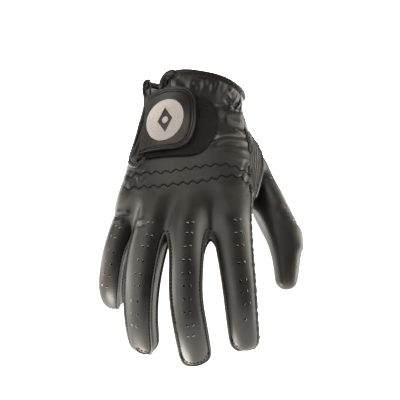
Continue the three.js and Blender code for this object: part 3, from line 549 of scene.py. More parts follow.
def finish_piece(piece, material, slot_name, *nodes):
    """Gives a piece its material, hangs it from the root body and hides the CAD nodes that it stands in
    for.
    """
    piece.data.materials.clear()
    piece.data.materials.append(material)
    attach(piece, "root")
    if nodes:
        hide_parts(*nodes)


black_leather = leather_material("black_leather", LEATHER_DARK, LEATHER_LIGHT, LEATHER_ROUGHNESS)
hand = outer_sheet("hand_panel", LEATHER_WALL, "hand_leather")
refine(hand, FINE_BOXES)
smooth_boxes(hand, SMOOTH_BOXES)
fold_sheet(hand, FOLDS + THUMB_FOLDS)
gather_sheet(hand, GATHER_OVALS, seed=4)
groove_sheet(hand, ZIGZAG_ROWS)
hand_skin = tree_of(hand)

# Fourchettes are the strips of the same leather between the fingers. Each runs down one finger,
# round the web and down the next, and is closed to the hand panel by an outseam all round.
FOURCHETTES = ["fourchette_little_ring", "fourchette_ring_middle", "fourchette_middle_index"]
fourchettes = [outer_sheet(name, LEATHER_WALL, name.replace("fourchette", "side_strip"))
               for name in FOURCHETTES]

# The thumb is a separate piece of the same leather, closed round the thumb. An outseam sets it
# into the side of the hand, below the gusset.
thumb = outer_sheet("thumb_piece", LEATHER_WALL, "thumb_leather")
fold_sheet(thumb, THUMB_FOLDS)

# The gusset is a fine ribbed stretch knit, its ribs running down the hand. It is sewn in between
# the back's thumb side and the thumb, so that the glove can stretch there.
KNIT_WALL = 1.4 * MM
GUSSET_SEAM = [(248, 135), (250, 142), (251.5, 150), (252, 165), (250.5, 175), (251, 185), (253, 197)]
GUSSET_RIBS = 6
RIB_HEIGHT = 0.4 * MM
gusset = outer_sheet("stretch_gusset", KNIT_WALL, "knit_gusset", levels=5)


def knit_material(name, dark, light, rib_pitch):
    """Ribbed stretch knit: fine upright ribs of small stitches, with a soft fuzz of light, and painted
    shade that darkens the grooves between them.
    """
    ribs = dict(bands_direction="X", in_Scale=1 / rib_pitch / 3.14, in_Distortion=0.6, in_Detail=2,
                in_Detail_Scale=3)
    loops = dict(bands_direction="Z", in_Scale=1 / rib_pitch / 2.6, in_Distortion=1.5, in_Detail=2,
                 in_Detail_Scale=4)
    textures = [("TexWave", "Fac", ribs), ("TexWave", "Fac", loops)]
    bump = dict(in_Strength=0.8, in_Distance=0.3 * MM)
    return make_material(name, (dark, light), textures, bump, blend=0.3, in_Roughness=0.75,
                         in_Sheen_Weight=0.35, in_Sheen_Roughness=0.5)


def border_chains(piece):
    """The open borders of a sheet, each as a list of point numbers in order, and if it is closed."""
    mesh = bmesh.new()
    mesh.from_mesh(piece.data)
    mesh.verts.ensure_lookup_table()
    links = {}
    for edge in mesh.edges:
        if edge.is_boundary:
            a, b = edge.verts[0].index, edge.verts[1].index
            links.setdefault(a, []).append(b)
            links.setdefault(b, []).append(a)
    mesh.free()
    chains = []
    left = set(links)
    while left:
        start = min(left)
        chain = [start]
        left.remove(start)
        while True:
            following = [n for n in links[chain[-1]] if n in left]
            if not following:
                break
            chain.append(following[0])
            left.remove(following[0])
        chains.append(chain)
    return chains


def rib_sheet(piece, seam_pixels, ribs, height):
    """Raises upright ribs on the knit, shared out evenly between its two long edges."""
    near, far = [], []
    line = smooth_pixels(seam_pixels)
    places, normals = points_of(piece)
    for number in border_chains(piece)[0]:
        x, y = pixel_of(places[number])
        reach = min(math.hypot(x - other[0], y - other[1]) for other in line)
        (near if reach < 2.2 else far).append(Vector(places[number]))
    trees = [search_of(enumerate(side), len(side)) for side in (near, far)]
    for index in range(len(places)):
        left, right = (tree.find(places[index])[2] for tree in trees)
        share = left / max(left + right, 1e-6)
        places[index] += normals[index] * height * math.cos(2 * math.pi * ribs * share + math.pi)
    move_points(piece, places)


rib_sheet(gusset, GUSSET_SEAM, GUSSET_RIBS, RIB_HEIGHT)
# The darker colour goes into the knit's grooves as painted shade, the lighter onto its ribs.
stretch_knit = knit_material("stretch_knit", (0.008, 0.0075, 0.007, 1), (0.036, 0.033, 0.03, 1), 0.9 * MM)

# Outseams join the pieces with the raw edges outwards: a narrow double lip stands along each
# seam, and a row of lockstitches runs beside it on either side.
LIP_WIDTH = 1.5 * MM
LIP_HEIGHT = 1.0 * MM
LIP_SINK = 0.9 * MM
LIP_STEP = 0.8 * MM
SCALLOPS = [(6.3, 0.5), (4.1, 0.3), (9.7, 0.4)]
THUMB_SIDE_TOP = 130
STITCH_PITCH = 2.3 * MM
STITCH_LENGTH = 1.7 * MM
STITCH_THICKNESS = 0.68 * MM
STITCH_INSET = 1.3 * MM
STITCH_LIFT = 0.1 * MM
PARTNER_REACH = 0.9 * MM
HIDDEN_SIDE = -0.2
DOUBLE_REACH = 1.1 * MM
SHORTEST_SEAM = 4 * MM
SHORTEST_OWN_SEAM = 20 * MM
OWN_SEAM_STEPS = 12
TURN_LIMIT = 0.35


def new_piece(name, points, faces):
    mesh = bpy.data.meshes.new(name)
    mesh.from_pydata([tuple(point) for point in points], [], faces)
    piece = bpy.data.objects.new(name, mesh)
    scene.collection.objects.link(piece)
    return piece


def swept_mesh(name, lines, section, angle):
    """A closed bar along each (line, closed) of (place, way out) pairs, all in one mesh. The section
    gives the bar's own (across, out) points at a step of the line."""
    points, faces = [], []
    for line, closed in lines:
        first, count = len(points), len(line)
        for index, (place, outward) in enumerate(line):
            before = line[(index - 1) % count if closed else max(0, index - 1)][0]
            after = line[(index + 1) % count if closed else min(count - 1, index + 1)][0]
            across = (after - before).normalized().cross(outward).normalized()
            ring = section(index, count)
            points.extend(place + across * side + outward * rise for side, rise in ring)
        size = len(ring)
        for index in range(count if closed else count - 1):
            here, there = first + index * size, first + (index + 1) % count * size
            for step in range(size):
                following = (step + 1) % size
                faces.append((here + step, there + step, there + following, here + following))
        if not closed:
            faces.append(tuple(range(first, first + size)))
            faces.append(tuple(range(first + (count - 1) * size, first + count * size))[::-1])
    piece = new_piece(name, points, faces)
    pick(piece)
    bpy.ops.object.mode_set(mode="EDIT")
    bpy.ops.mesh.select_all(action="SELECT")
    bpy.ops.mesh.normals_make_consistent(inside=False)
    bpy.ops.object.mode_set(mode="OBJECT")
    bpy.ops.object.shade_smooth_by_angle(angle=math.radians(angle))
    return piece


def lip_mesh(name, lines, width=LIP_WIDTH, height=LIP_HEIGHT, scallop=0.0):
    """A narrow double lip along each line, its height waving a little."""
    profile = [(-0.5, -1), (-0.5, 0.55), (-0.36, 0.95), (-0.12, 1), (0, 0.72),
               (0.12, 1), (0.36, 0.95), (0.5, 0.55), (0.5, -1)]

    def section(index, _):
        ripple = sum(share * math.sin(index * 2 * math.pi / steps) for steps, share in SCALLOPS)
        wave = 1 + scallop * ripple
        return [(side * width, up * (height * wave if up > 0 else LIP_SINK)) for side, up in profile]

    return swept_mesh(name, lines, section, 40)


def evened(line, closed, step):
    """A line of (place, way out) pairs at an even step, softened a little."""
    pairs = line + line[:1] if closed else line
    places = np.array([tuple(place) for place, _ in pairs])
    outs = np.array([tuple(out) for _, out in pairs])
    placed, outward = (spread_evenly(values, places, step, 3) for values in (places, outs))
    for _ in range(6):
        outward[1:-1] = (outward[:-2] + 2 * outward[1:-1] + outward[2:]) / 4
    if closed:
        placed, outward = placed[:-1], outward[:-1]
    return [(Vector(place), Vector(out).normalized()) for place, out in zip(placed, outward)]


sheets = {"hand": hand, "thumb": thumb, "gusset": gusset}
sheets.update(zip(FOURCHETTES, fourchettes))
sheet_points = {name: points_of(piece) for name, piece in sheets.items()}
sheet_chains = {name: border_chains(piece) for name, piece in sheets.items()}
border_search = {}
for name, chains in sheet_chains.items():
    border = [(number, sheet_points[name][0][number]) for chain in chains for number in chain]
    border_search[name] = search_of(border, len(border))


def partner_of(name, number, order, count, partners):
    """What meets a border point: a partner's border, or another stretch of the same border."""
    places, _ = sheet_points[name]
    best = None
    for other in partners:
        for found, other_number, distance in border_search[other].find_n(Vector(places[number]), 12):
            if other == name and other_number in order:
                steps = abs(order[other_number] - order[number])
                if min(steps, count - steps) < OWN_SEAM_STEPS:
                    continue
            if distance < PARTNER_REACH and (best is None or distance < best[0]):
                best = (distance, found, Vector(sheet_points[other][1][other_number]))
    return best


def stretches(flags):
    """The stretches of true flags in a ring, each as a list of indexes."""
    count = len(flags)
    if all(flags):
        return [list(range(count))]
    start = next(index for index in range(count) if not flags[index])
    groups, group = [], []
    for step in range(1, count + 1):
        index = (start + step) % count
        if flags[index]:
            group.append(index)
        elif group:
            groups.append(group)
            group = []
    return groups


def seam_runs(name, partners):
    """The stretches of a sheet's border that meet the partners, as (place, way out) lines."""
    places, normals = sheet_points[name]
    runs = []
    for chain in sheet_chains[name]:
        order = {number: index for index, number in enumerate(chain)}
        met = [partner_of(name, number, order, len(chain), partners) for number in chain]
        for group in stretches([found is not None for found in met]):
            line = []
            for index in group:
                number, found = chain[index], met[index]
                here, outward = Vector(places[number]), Vector(normals[number])
                line.append(((here + found[1]) / 2, (outward + found[2]).normalized()))
            runs.append((line, len(group) == len(chain)))
    return runs


def cut_at_turns(line):
    """The parts of a line between its sharp turns."""
    parts, part = [], [line[0]]
    for before, here, after in zip(line, line[1:], line[2:]):
        part.append(here)
        turn = (here[0] - before[0]).normalized().dot((after[0] - here[0]).normalized())
        if turn < TURN_LIMIT:
            parts.append(part)
            part = [here]
    parts.append(part + [line[-1]])
    return parts


def without_doubles(runs):
    """The runs at an even step, each place once: a seam inside one piece is met from both sides."""
    kept = []
    for line, closed in runs:
        parts = [line] if closed else cut_at_turns(line)
        for part in parts:
            if len(part) < 4:
                continue
            even = evened(part, closed, LIP_STEP)
            near = [any((place - other).length < DOUBLE_REACH for run, _ in kept for other, _ in run)
                    for place, _ in even]
            if not any(near):
                kept.append((even, closed))
                continue
            for group in stretches([not flag for flag in near]):
                if len(group) * LIP_STEP > SHORTEST_SEAM and group == sorted(group):
                    kept.append(([even[index] for index in group], False))
    return [(line, closed) for line, closed in kept if len(line) * LIP_STEP > SHORTEST_SEAM]


found_runs = [run for name in FOURCHETTES for run in seam_runs(name, ["hand"])]
found_runs += seam_runs("thumb", ["hand", "gusset"])
found_runs += seam_runs("gusset", ["hand"])
joined_seams = without_doubles(found_runs)
own_seams = [(line, closed) for line, closed in without_doubles(seam_runs("hand", ["hand"]))
             if len(line) * LIP_STEP > SHORTEST_OWN_SEAM
             and max(pixel_of(place)[1] for place, _ in line) > THUMB_SIDE_TOP]

# The lips are coloured lighter than the panel's leather: a painted highlight where they catch the light.
lip_leather_painted_highlight = leather_material("lip_leather_painted_highlight", (0.022, 0.02, 0.0175, 1), (0.05, 0.046, 0.041, 1), 0.45)
finish_piece(lip_mesh("outseam_lips", joined_seams), lip_leather_painted_highlight, "black_leather")
hand_lips = lip_mesh("thumb_side_lips", own_seams, LIP_WIDTH * 0.6, LIP_HEIGHT * 0.9, scallop=0.4)
finish_piece(hand_lips, lip_leather_painted_highlight, "black_leather")


def stitch_shape():
    """One lockstitch, modelled once: a short rounded dash of thread along X."""
    bpy.ops.object.select_all(action="DESELECT")
    bpy.ops.mesh.primitive_cylinder_add(vertices=6, radius=STITCH_THICKNESS / 2, depth=STITCH_LENGTH,
                                        rotation=(0, math.radians(90), 0))
    bpy.ops.object.transform_apply(location=False, rotation=True, scale=False)
    dash = bpy.context.object
    bpy.ops.object.mode_set(mode="EDIT")
    bpy.ops.mesh.select_all(action="SELECT")
    bpy.ops.mesh.bevel(offset=STITCH_THICKNESS * 0.28, segments=1)
    bpy.ops.object.mode_set(mode="OBJECT")
    points = np.array([tuple(v.co) for v in dash.data.vertices])
    faces = [tuple(face.vertices) for face in dash.data.polygons]
    bpy.data.objects.remove(dash)
    return points, faces


STITCH = stitch_shape()


def stitch_mesh(name, spots, length=1.0, thickness=1.0):
    """Stitches at (place, along, way out) spots, in one mesh."""
    shape, shape_faces = STITCH
    points, faces = [], []
    for place, along, outward in spots:
        across = outward.cross(along).normalized()
        up = along.cross(across).normalized()
        axes = [along.normalized() * length, across * thickness, up * thickness]
        first = len(points)
        points.extend(shape @ np.array([tuple(axis) for axis in axes]) + np.array(tuple(place)))
        faces.extend(tuple(first + number for number in face) for face in shape_faces)
    piece = new_piece(name, points, faces)
    piece.data.shade_smooth()
    return piece


def stitch_spots(run, skins):
    """Spots for stitches on either side of a seam, on whichever skin is nearest."""
    even = evened(*run, STITCH_PITCH)
    spots = []
    for (before, _), (place, outward), (after, _) in zip(even, even[1:], even[2:]):
        along = (after - before).normalized()
        across = along.cross(outward).normalized()
        for side in (-1, 1):
            wanted = place + across * side * STITCH_INSET
            near = [skin.find_nearest(wanted, 4 * MM) for skin in skins]
            near = [spot for spot in near if spot[0] is not None]
            if near:
                found, normal, _, _ = min(near, key=lambda spot: spot[3])
                normal = normal if normal.dot(outward) > 0 else -normal
                spots.append((found + normal * STITCH_THICKNESS * 0.1, along, normal))
    return spots


def thread_material(name, colour, roughness):
    """Dull twisted thread."""
    twist = dict(in_Scale=2500, in_Detail=2)
    bump = dict(in_Strength=0.5, in_Distance=0.1 * MM)
    return make_material(name, None, [("TexNoise", "Fac", twist)], bump, in_Base_Color=colour,
                         in_Roughness=roughness, in_Specular_IOR_Level=0.15)


black_thread = thread_material("black_thread", (0.003, 0.0028, 0.0027, 1), 0.8)
sheet_skins = [hand_skin, tree_of(thumb), tree_of(gusset)] + [tree_of(piece) for piece in fourchettes]
seam_spots = [spot for run in joined_seams for spot in stitch_spots(run, sheet_skins)]
seam_spots += [spot for run in own_seams for spot in stitch_spots(run, sheet_skins)
               if spot[2].y > HIDDEN_SIDE]
finish_piece(stitch_mesh("outseam_stitches", seam_spots), black_thread, "black_leather")

# Round the tips of the longer fingers the outseam turns under the end, where it shows as a dark
# rolled edge with its row of stitches just inside it.
TIP_SEAMS = [
    ((195, 343), [(178.8, 352), (181.2, 358), (185.2, 363), (191, 365.2), (197.5, 365), (203.5, 362.6),
                  (208, 358), (210.3, 351)]),
    ((144, 335), [(135.3, 347.5), (140, 352), (145.5, 353.4), (149, 352)]),
    ((244, 334), [(229, 334), (231, 341.5), (234.3, 347), (239.5, 349.5)]),
]
TIP_ROLL_RADIUS = 0.7 * MM
FINE_STEP = 0.5 * MM
TIP_STITCH_INSET = 2.0
ROLL_TURNS = 10
PROBE_STEPS = 60
MIDDLE_DEPTH = -4 * MM


def beside(pixels, inner, skins):
    """Places for pixels on an outline, as far away as the skins are where they are first met."""
    found = []
    for pixel in pixels:
        for step in range(PROBE_STEPS):
            share = step / PROBE_STEPS
            probe = (pixel[0] + (inner[0] - pixel[0]) * share, pixel[1] + (inner[1] - pixel[1]) * share)
            met = [spot for skin in skins for spot in seen_on([probe], skin) if spot[0].y < MIDDLE_DEPTH]
            if met:
                place, normal = min(met, key=lambda spot: spot[0].y)
                reach = (place - CAMERA_PLACE).length
                found.append((CAMERA_PLACE + photo_ray(pixel) * reach, normal))
                break
    return found


def roll_mesh(name, lines, radius, flat):
    """Rounded tapes along open lines, each tapered at both ends, in one mesh."""
    angles = [2 * math.pi * turn / ROLL_TURNS for turn in range(ROLL_TURNS)]

    def section(index, count):
        size = radius * min(1, 0.35 + 0.65 * min(index, count - 1 - index) / 4)
        return [(size * math.cos(angle), size * flat * math.sin(angle)) for angle in angles]

    return swept_mesh(name, [(line, False) for line in lines], section, 60)


def row_spots(row, lift):
    """Spots for stitches along a row of (place, way out) pairs, but not at its two ends."""
    return [(place + outward * lift, (after - before).normalized(), outward)
            for (before, _), (place, outward), (after, _) in zip(row, row[1:], row[2:])]


tape_leather = leather_material("tape_leather", (0.004, 0.0035, 0.003, 1), (0.009, 0.008, 0.007, 1),
                                0.55, specular=0.3)
tip_lines, tip_spots = [], []
for centre, pixels in TIP_SEAMS:
    outline = smooth_pixels(pixels)
    tip_lines.append(evened(beside(outline, centre, [hand_skin]), False, FINE_STEP))
    inset = []
    for x, y in outline:
        share = TIP_STITCH_INSET / math.hypot(centre[0] - x, centre[1] - y)
        inset.append((x + (centre[0] - x) * share, y + (centre[1] - y) * share))
    tip_spots += row_spots(evened(seen_on(inset, hand_skin), False, STITCH_PITCH), STITCH_LIFT)
tip_rolls = roll_mesh("fingertip_rolls", tip_lines, TIP_ROLL_RADIUS, 0.9)
finish_piece(tip_rolls, tape_leather, "black_leather")
finish_piece(stitch_mesh("fingertip_stitches", tip_spots), black_thread, "black_leather")

# The zigzag rows are stitched through the back over elastic tapes inside, so that the thread
# sinks into the leather and its edges stand up a little beside it.
ZIGZAG_SPACING = 0.25
zigzag_spots = []
for pixels in ZIGZAG_ROWS:
    turns = zigzag_pixels(pixels)
    for (x0, y0), (x1, y1) in zip(turns, turns[1:]):
        for share in np.arange(ZIGZAG_SPACING / 2, 1, ZIGZAG_SPACING):
            ahead = share + ZIGZAG_SPACING / 2
            steps = [(x0 + (x1 - x0) * part, y0 + (y1 - y0) * part) for part in (share, ahead)]
            found = seen_on(steps, hand_skin)
            if len(found) == 2:
                place, normal = found[0]
                along = (found[1][0] - place).normalized()
                zigzag_spots.append((place + normal * STITCH_LIFT, along, normal))
zigzag = stitch_mesh("zigzag_stitches", zigzag_spots, length=0.85, thickness=1.05)
finish_piece(zigzag, black_thread, "black_leather")

# Perforations are pairs of small holes punched down the back of each finger and the thumb.
# They are cut right through the leather. Their cut edges are coloured nearly white: partly the
# paler raw leather, partly a painted glint of light on the edges of the holes.
HOLE_RADIUS = 0.72 * MM
HOLE_DEPTH = 5 * MM
HOLES = [
    (187.5, 223), (193, 222), (187, 233), (192, 233), (185, 247), (190.5, 246), (183.5, 260),
    (189.5, 260), (182.5, 273.5), (189, 273), (183.5, 286), (190, 286), (184, 299.5), (190, 299),
    (184, 312.5), (190, 312), (187, 326), (193, 325), (188, 336), (193.5, 335.5),
    (235, 220), (240.5, 219.5), (236, 233), (241.5, 232), (237.5, 246), (243, 245), (239, 263),
    (244.5, 262), (240.5, 281), (246, 279.5), (242.5, 292.5), (247, 291), (244, 304), (250, 303),
    (245.5, 319.5),
    (148, 223), (153, 223), (146.5, 235), (151.5, 236), (142.5, 246.5), (148, 247), (138, 260),
    (143, 261), (135, 273), (140.5, 274), (134, 285.5), (139, 286), (131.5, 300.5), (137, 302),
    (131.5, 314), (137, 315), (132, 325), (137, 327),
    (116, 226), (120, 228), (111, 236), (115, 238.5), (108.5, 250), (113, 252), (106, 262),
    (111, 264.5), (104, 274), (109, 276), (102, 285), (107, 287),
]
THUMB_HOLES = [(271, 178), (280, 187), (284, 199), (289, 211), (294, 220), (300.5, 253), (297, 267)]

# Nearly white: the paler raw leather, with a painted glint of light on the edges of the holes.
raw_edge_with_painted_glint = leather_material("raw_leather_edge_with_painted_glint", (0.62, 0.59, 0.56, 1), (0.82, 0.79, 0.76, 1), 0.8)


def round_cutters(pixels, skin):
    """One round bar through the leather at each pixel, straight in from its face."""
    cutters = []
    for place, normal in seen_on(pixels, skin):
        bpy.ops.object.select_all(action="DESELECT")
        bpy.ops.mesh.primitive_cylinder_add(vertices=12, radius=HOLE_RADIUS, depth=HOLE_DEPTH,
                                            location=place,
                                            rotation=normal.to_track_quat("Z", "Y").to_euler())
        cutters.append(bpy.context.object)
    return cutters


def punch(piece, cutters, edge):
    """Cuts bars out of a leather wall, its cut edges in a material of their own."""
    bpy.ops.object.select_all(action="DESELECT")
    for cutter in cutters:
        cutter.select_set(True)
    bpy.context.view_layer.objects.active = cutters[0]
    bpy.ops.object.join()
    bpy.ops.object.transform_apply()
    cutter = bpy.context.object
    cutter.data.materials.clear()
    cutter.data.materials.append(edge)
    pick(piece)
    holes = piece.modifiers.new("holes", "BOOLEAN")
    holes.operation = "DIFFERENCE"
    holes.solver = "EXACT"
    holes.material_mode = "TRANSFER"
    holes.object = cutter
    bpy.ops.object.modifier_apply(modifier="holes")
    bpy.data.objects.remove(cutter)


# The foot of the slit lies under the tab's lower corner: a short oval opening in the leather,
# with the end of the binding tape turned round it and sewn down.
SLIT_FOOT_HOLE = (140, 158.5)
SLIT_FOOT_SIZE = (1.7 * MM, 3.1 * MM)
SLIT_FOOT_TURN = 42
SLIT_FOOT_TAPE = [(128.5, 153.5), (128, 159), (130, 164), (134.5, 167), (139.5, 165.5),
                  (143.5, 161), (146, 156.5)]
SLIT_TAPE_RADIUS = 1.5 * MM
slit_foot_line = evened(seen_on(smooth_pixels(SLIT_FOOT_TAPE), hand_skin), False, FINE_STEP)


def oval_cutter(skin):
    """A short oval bar through the leather at the slit's foot, to cut the opening with."""
    place, _ = seen_on([SLIT_FOOT_HOLE], skin)[0]
    bpy.ops.object.select_all(action="DESELECT")
    bpy.ops.mesh.primitive_cylinder_add(vertices=24, radius=1, depth=1)
    cutter = bpy.context.object
    cutter.scale = (*SLIT_FOOT_SIZE, 4 * MM)
    bpy.ops.object.transform_apply(location=False, rotation=False, scale=True)
    cutter.rotation_euler = (math.radians(90), math.radians(SLIT_FOOT_TURN), 0)
    cutter.location = place
    bpy.ops.object.transform_apply()
    return cutter


slit_foot = roll_mesh("slit_foot_tape", [slit_foot_line], SLIT_TAPE_RADIUS, 0.8)
finish_piece(slit_foot, black_leather, "binding_leather")

# The sheets get their walls, and then the openings are cut through the leather.
thumb_skin = tree_of(thumb)
SHEETS = [
    (hand, LEATHER_WALL, black_leather, "black_leather", "hand_panel"),
    (thumb, LEATHER_WALL, black_leather, "black_leather", "thumb_piece"),
    (gusset, KNIT_WALL, stretch_knit, "stretch_knit", "stretch_gusset"),
]
SHEETS += [(piece, LEATHER_WALL, black_leather, "black_leather", name)
           for piece, name in zip(fourchettes, FOURCHETTES)]
for piece, wall, material, slot_name, node in SHEETS:
    give_wall(piece, wall)
    finish_piece(piece, material, slot_name, node)
punch(hand, [oval_cutter(hand_skin)], black_leather)
punch(hand, round_cutters(HOLES, hand_skin), raw_edge_with_painted_glint)
punch(thumb, round_cutters(THUMB_HOLES, thumb_skin), raw_edge_with_painted_glint)

# The cuff and the slit are bound with narrow folded leather tape, rolled over the raw edge and
# sewn down by one row of stitches just under it.
BINDING_WALL = 2.2 * MM
BINDING_OVERLAP = 2.2 * MM
BINDING_ROLL = 0.8 * MM
BINDING_REACH = 4.5 * MM
BINDING_ROUNDING = 0.75 * MM
CUFF_STITCH_LINE = [(172, 73.5), (185, 72.8), (200, 74), (214, 77), (226, 81.5), (236, 87), (243, 92.5)]
CUFF_STITCH_PITCH = 1.9 * MM
CUFF_STITCH_SINK = 0.3 * MM
CUFF_GROOVE_DEPTH = 0.6 * MM
CUFF_GROOVE_WIDTH = 0.7 * MM


def bound_edge(node_name, piece_name, levels):
    """A binding tape: rounded across, and let down a little over the leather below it."""
    tape = outer_sheet(node_name, BINDING_WALL, piece_name, levels)
    places, normals = points_of(tape)
    for index in range(len(places)):
        found, _, distance = border_search["hand"].find(places[index])
        share = min(1, distance / BINDING_REACH)
        away = (places[index] - np.array(found)) / max(distance, 1e-6)
        places[index] += normals[index] * BINDING_ROLL * math.sin(math.pi * share) ** 0.7
        places[index] -= away * BINDING_OVERLAP * (1 - share)
    move_points(tape, places)
    give_wall(tape, BINDING_WALL + BINDING_ROLL)
    rounding = tape.modifiers.new("rounding", "BEVEL")
    rounding.width = BINDING_ROUNDING
    rounding.segments = 3
    rounding.limit_method = "ANGLE"
    rounding.angle_limit = math.radians(CREASE_ANGLE)
    bpy.ops.object.modifier_apply(modifier="rounding")
    bpy.ops.object.shade_smooth_by_angle(angle=math.radians(60))
    return tape


cuff_tape = bound_edge("cuff_binding", "cuff_tape", 2)
slit_tape = bound_edge("slit_binding", "slit_tape", 2)
cuff_skin = tree_of(cuff_tape)
cuff_row = evened(seen_on(smooth_pixels(CUFF_STITCH_LINE), cuff_skin), False, CUFF_STITCH_PITCH)
work_line(cuff_tape, [place for place, _ in cuff_row], -CUFF_GROOVE_DEPTH, CUFF_GROOVE_WIDTH, 0)
cuff_stitches = stitch_mesh("cuff_stitches", row_spots(cuff_row, -CUFF_STITCH_SINK))
finish_piece(cuff_stitches, black_thread, "black_leather")
finish_piece(cuff_tape, tape_leather, "binding_leather", "cuff_binding")
finish_piece(slit_tape, tape_leather, "binding_leather", "slit_binding")

# Where the tape turns a corner or stands up in a loop: the pixels that it runs through, a pixel
# inside the turn, the skins that it lies on, half its width in mm, how flat it is and its leather
TAPE_SKINS = [cuff_skin, tree_of(slit_tape)]
TAPE_TURNS = [
    ("corner_tape", [(160.6, 89), (162.2, 81), (165.6, 75.4), (170, 72.6), (176, 72.4)],
     (180, 84), TAPE_SKINS, 2.3, 0.5, tape_leather),
    ("corner_fold", [(165.2, 86), (166.6, 81), (168.6, 78), (172.5, 76.2)],
     (180, 84), TAPE_SKINS + [hand_skin], 1.5, 0.5, black_leather),
    ("flap_tape", [(145.8, 99), (143.6, 92), (143.8, 85), (146, 81.2), (148.6, 83), (150, 89),
                   (150.4, 95)],
     (148, 100), TAPE_SKINS, 1.1, 0.9, tape_leather),
]
for name, pixels, inner, skins, radius, flat, leather in TAPE_TURNS:
    line = evened(beside(smooth_pixels(pixels), inner, skins), False, FINE_STEP)
    finish_piece(roll_mesh(name, [line], radius * MM, flat), leather, "binding_leather")

# The patch on the wrist is the loop side of the closure: a dark knitted plush, sewn down flat
# with a rounded end. Its hook side is a small slab hidden under the tab.
PATCH_WALL = 0.9 * MM
LOOP_PITCH = 0.85 * MM


def plush_material(name, dark, light, pitch):
    """Loop plush: rows of tiny dark knitted loops with small pits between them, the pits coloured darker
    still as painted shade.
    """
    loops = dict(feature="F1", in_Scale=1 / pitch, in_Randomness=0.35)
    fuzz = dict(in_Scale=2600, in_Detail=3)
    textures = [("TexVoronoi", "Distance", loops), ("TexNoise", "Fac", fuzz)]
    bump = dict(in_Strength=1, in_Distance=0.6 * MM, invert=True)
    return make_material(name, (light, dark), textures, bump, blend=0.3, in_Roughness=0.9,
                         in_Specular_IOR_Level=0.15)


# The darker colour fills the pits between the loops, as painted shade.
loop_plush = plush_material("loop_plush", (0.002, 0.0018, 0.0017, 1), (0.02, 0.018, 0.017, 1),
                            LOOP_PITCH)
patch = outer_sheet("loop_patch", PATCH_WALL, "loop_plush_patch", levels=2)
give_wall(patch, PATCH_WALL)
finish_piece(patch, loop_plush, "hook_and_loop", "loop_patch")
hook_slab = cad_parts["tab_hook_patch"]
hook_slab.data.materials.clear()
hook_slab.data.materials.append(loop_plush)

# The closing tab is a doubled piece of the same leather, sewn on at the slit and closed over
# the patch. Two rows of stitches run round its free edge, each in a shallow channel.
TAB_WALL = 1.5 * MM
TAB_DEGREE = 4
TAB_ROWS = [1.9 * MM, 3.5 * MM]
TAB_CHANNEL_DEPTH = 0.45 * MM
TAB_CHANNEL_WIDTH = 0.6 * MM
TAB_STITCH_PITCH = 1.7 * MM
TAB_CORNERS = [(150, 95), (137, 154), (196.5, 110)]


def free_edge(piece, first_pixel, last_pixel, through):
    """The border between the corners at two pixels, by way of a third, as (place, way out) pairs."""
    places, normals = points_of(piece)
    chain = border_chains(piece)[0]
    pixels = [pixel_of(places[number]) for number in chain]

    def nearest(pixel):
        return min(range(len(chain)), key=lambda index: math.dist(pixels[index], pixel))

    first, last, middle = nearest(first_pixel), nearest(last_pixel), nearest(through)
    count = len(chain)
    forward = [(first + step) % count for step in range((last - first) % count + 1)]
    backward = [(first - step) % count for step in range((first - last) % count + 1)]
    wanted = forward if middle in forward else backward
    return [(Vector(places[chain[index]]), Vector(normals[chain[index]])) for index in wanted]


def inset_line(line, inset, skin):
    """An open edge's line moved inwards over the face of the piece."""
    centre = sum((place for place, _ in line), Vector()) / len(line)
    moved = []
    count = len(line)
    for index in range(count):
        place, outward = line[index]
        along = (line[min(index + 1, count - 1)][0] - line[max(index - 1, 0)][0]).normalized()
        inwards = outward.cross(along).normalized()
        if inwards.dot(centre - place) < 0:
            inwards = -inwards
        found, normal, _, _ = skin.find_nearest(place + inwards * inset)
        moved.append((found, normal if normal.dot(outward) > 0 else -normal))
    return moved


def even_out(piece, degree):
    """Lays a sheet evenly: its depth becomes a smooth function of the place across and up."""
    places, _ = points_of(piece)
    across, up = ((places[:, axis] - places[:, axis].mean()) / np.ptp(places[:, axis]) for axis in (0, 2))
    terms = np.stack([across ** i * up ** j for i in range(degree + 1)
                      for j in range(degree + 1 - i)], axis=1)
    shares = np.linalg.lstsq(terms, places[:, 1], rcond=None)[0]
    places[:, 1] = terms @ shares
    move_points(piece, places)


tab = outer_sheet("closure_tab", TAB_WALL, "closing_tab", levels=3)
even_out(tab, TAB_DEGREE)
tab_border = evened(free_edge(tab, *TAB_CORNERS), False, 0.8 * MM)
tab_rows = [evened(inset_line(tab_border, inset, tree_of(tab)), False, FINE_STEP) for inset in TAB_ROWS]
for row in tab_rows:
    work_line(tab, [place for place, _ in row], -TAB_CHANNEL_DEPTH, TAB_CHANNEL_WIDTH, 0)
work_line(tab, [place for place, _ in tab_border], -0.4 * MM, 0.9 * MM, 0)
tab_skin = tree_of(tab)
tab_spots = []
for row in tab_rows:
    even = evened(row, False, TAB_STITCH_PITCH)
    for (before, _), (place, outward), (after, _) in zip(even, even[1:], even[2:]):
        found, normal, _, _ = tab_skin.find_nearest(place)
        normal = normal if normal.dot(outward) > 0 else -normal
        tab_spots.append((found + normal * STITCH_LIFT, (after - before).normalized(), normal))
give_wall(tab, TAB_WALL)
finish_piece(tab, black_leather, "black_leather", "closure_tab")
finish_piece(stitch_mesh("tab_stitches", tab_spots, length=0.75), black_thread, "black_leather")

# The badge is a pale round print that stands a little proud of the tab's leather. It is left
# plain but for a lozenge of bare leather with a printed dot in it.
BADGE_CENTRE = (165.1, 120)
BADGE_ACROSS = 18.4
BADGE_LEAN = -5.19
BADGE_UP = 20.04
BADGE_TURNS = 96
BADGE_RINGS = 14
BADGE_THICKNESS = 0.3 * MM
BADGE_LIFT = 0.12 * MM
LOZENGE_SIZE = 0.5
LOZENGE_DOT = 0.16


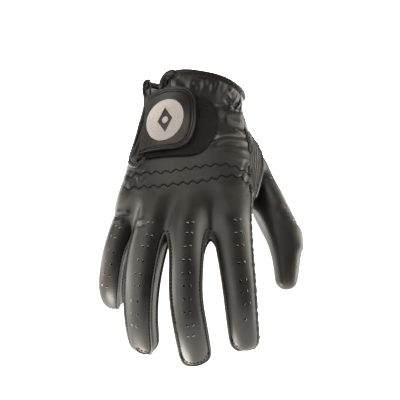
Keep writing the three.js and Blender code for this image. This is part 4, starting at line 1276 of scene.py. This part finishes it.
def badge_mesh(skin):
    """The printed oval, laid on the tab by the photograph's pixels, with its lozenge left open."""
    draw = random.Random(11)
    points, faces = [], []

    def spot(angle, radius):
        x = BADGE_CENTRE[0] + BADGE_ACROSS * math.cos(angle) * radius
        y = BADGE_CENTRE[1] + (BADGE_LEAN * math.cos(angle) + BADGE_UP * math.sin(angle)) * radius
        place, normal = seen_on([(x, y)], skin)[0]
        return place + normal * BADGE_LIFT

    roughness = [1 + draw.uniform(-0.005, 0.005) for _ in range(BADGE_TURNS)]
    for ring in range(BADGE_RINGS + 1):
        share = ring / BADGE_RINGS
        for turn in range(BADGE_TURNS):
            angle = 2 * math.pi * turn / BADGE_TURNS
            inner = LOZENGE_SIZE / (abs(math.cos(angle)) * 1.25 + abs(math.sin(angle)) * 0.8)
            radius = inner + (roughness[turn] - inner) * share
            points.append(spot(angle, radius))
    for ring in range(BADGE_RINGS):
        for turn in range(BADGE_TURNS):
            following = (turn + 1) % BADGE_TURNS
            a, b = ring * BADGE_TURNS, (ring + 1) * BADGE_TURNS
            faces.append((a + turn, b + turn, b + following, a + following))
    centre = len(points)
    points.append(spot(0, 0))
    for turn in range(BADGE_TURNS // 4):
        points.append(spot(8 * math.pi * turn / BADGE_TURNS, LOZENGE_DOT))
    for turn in range(BADGE_TURNS // 4):
        following = (turn + 1) % (BADGE_TURNS // 4)
        faces.append((centre, centre + 1 + turn, centre + 1 + following))
    piece = new_piece("badge_print", points, faces)
    if piece.data.polygons[0].normal.y > 0:
        piece.data.flip_normals()
    give_wall(piece, BADGE_THICKNESS, offset=1)
    return piece


def print_material(name, colour, shade):
    """Thick pale print with a fine speckle where the leather's grain shows through."""
    speckle = dict(in_Scale=1500, in_Detail=4, in_Roughness=0.7)
    bump = dict(in_Strength=0.5, in_Distance=0.15 * MM)
    return make_material(name, (shade, colour), [("TexNoise", "Fac", speckle)], bump,
                         spread=(0.35, 0.6), in_Roughness=0.7)


pale_print = print_material("pale_print", (0.47, 0.445, 0.435, 1), (0.3, 0.285, 0.275, 1))
badge = badge_mesh(tree_of(tab))
finish_piece(badge, pale_print, "pale_print", "badge")
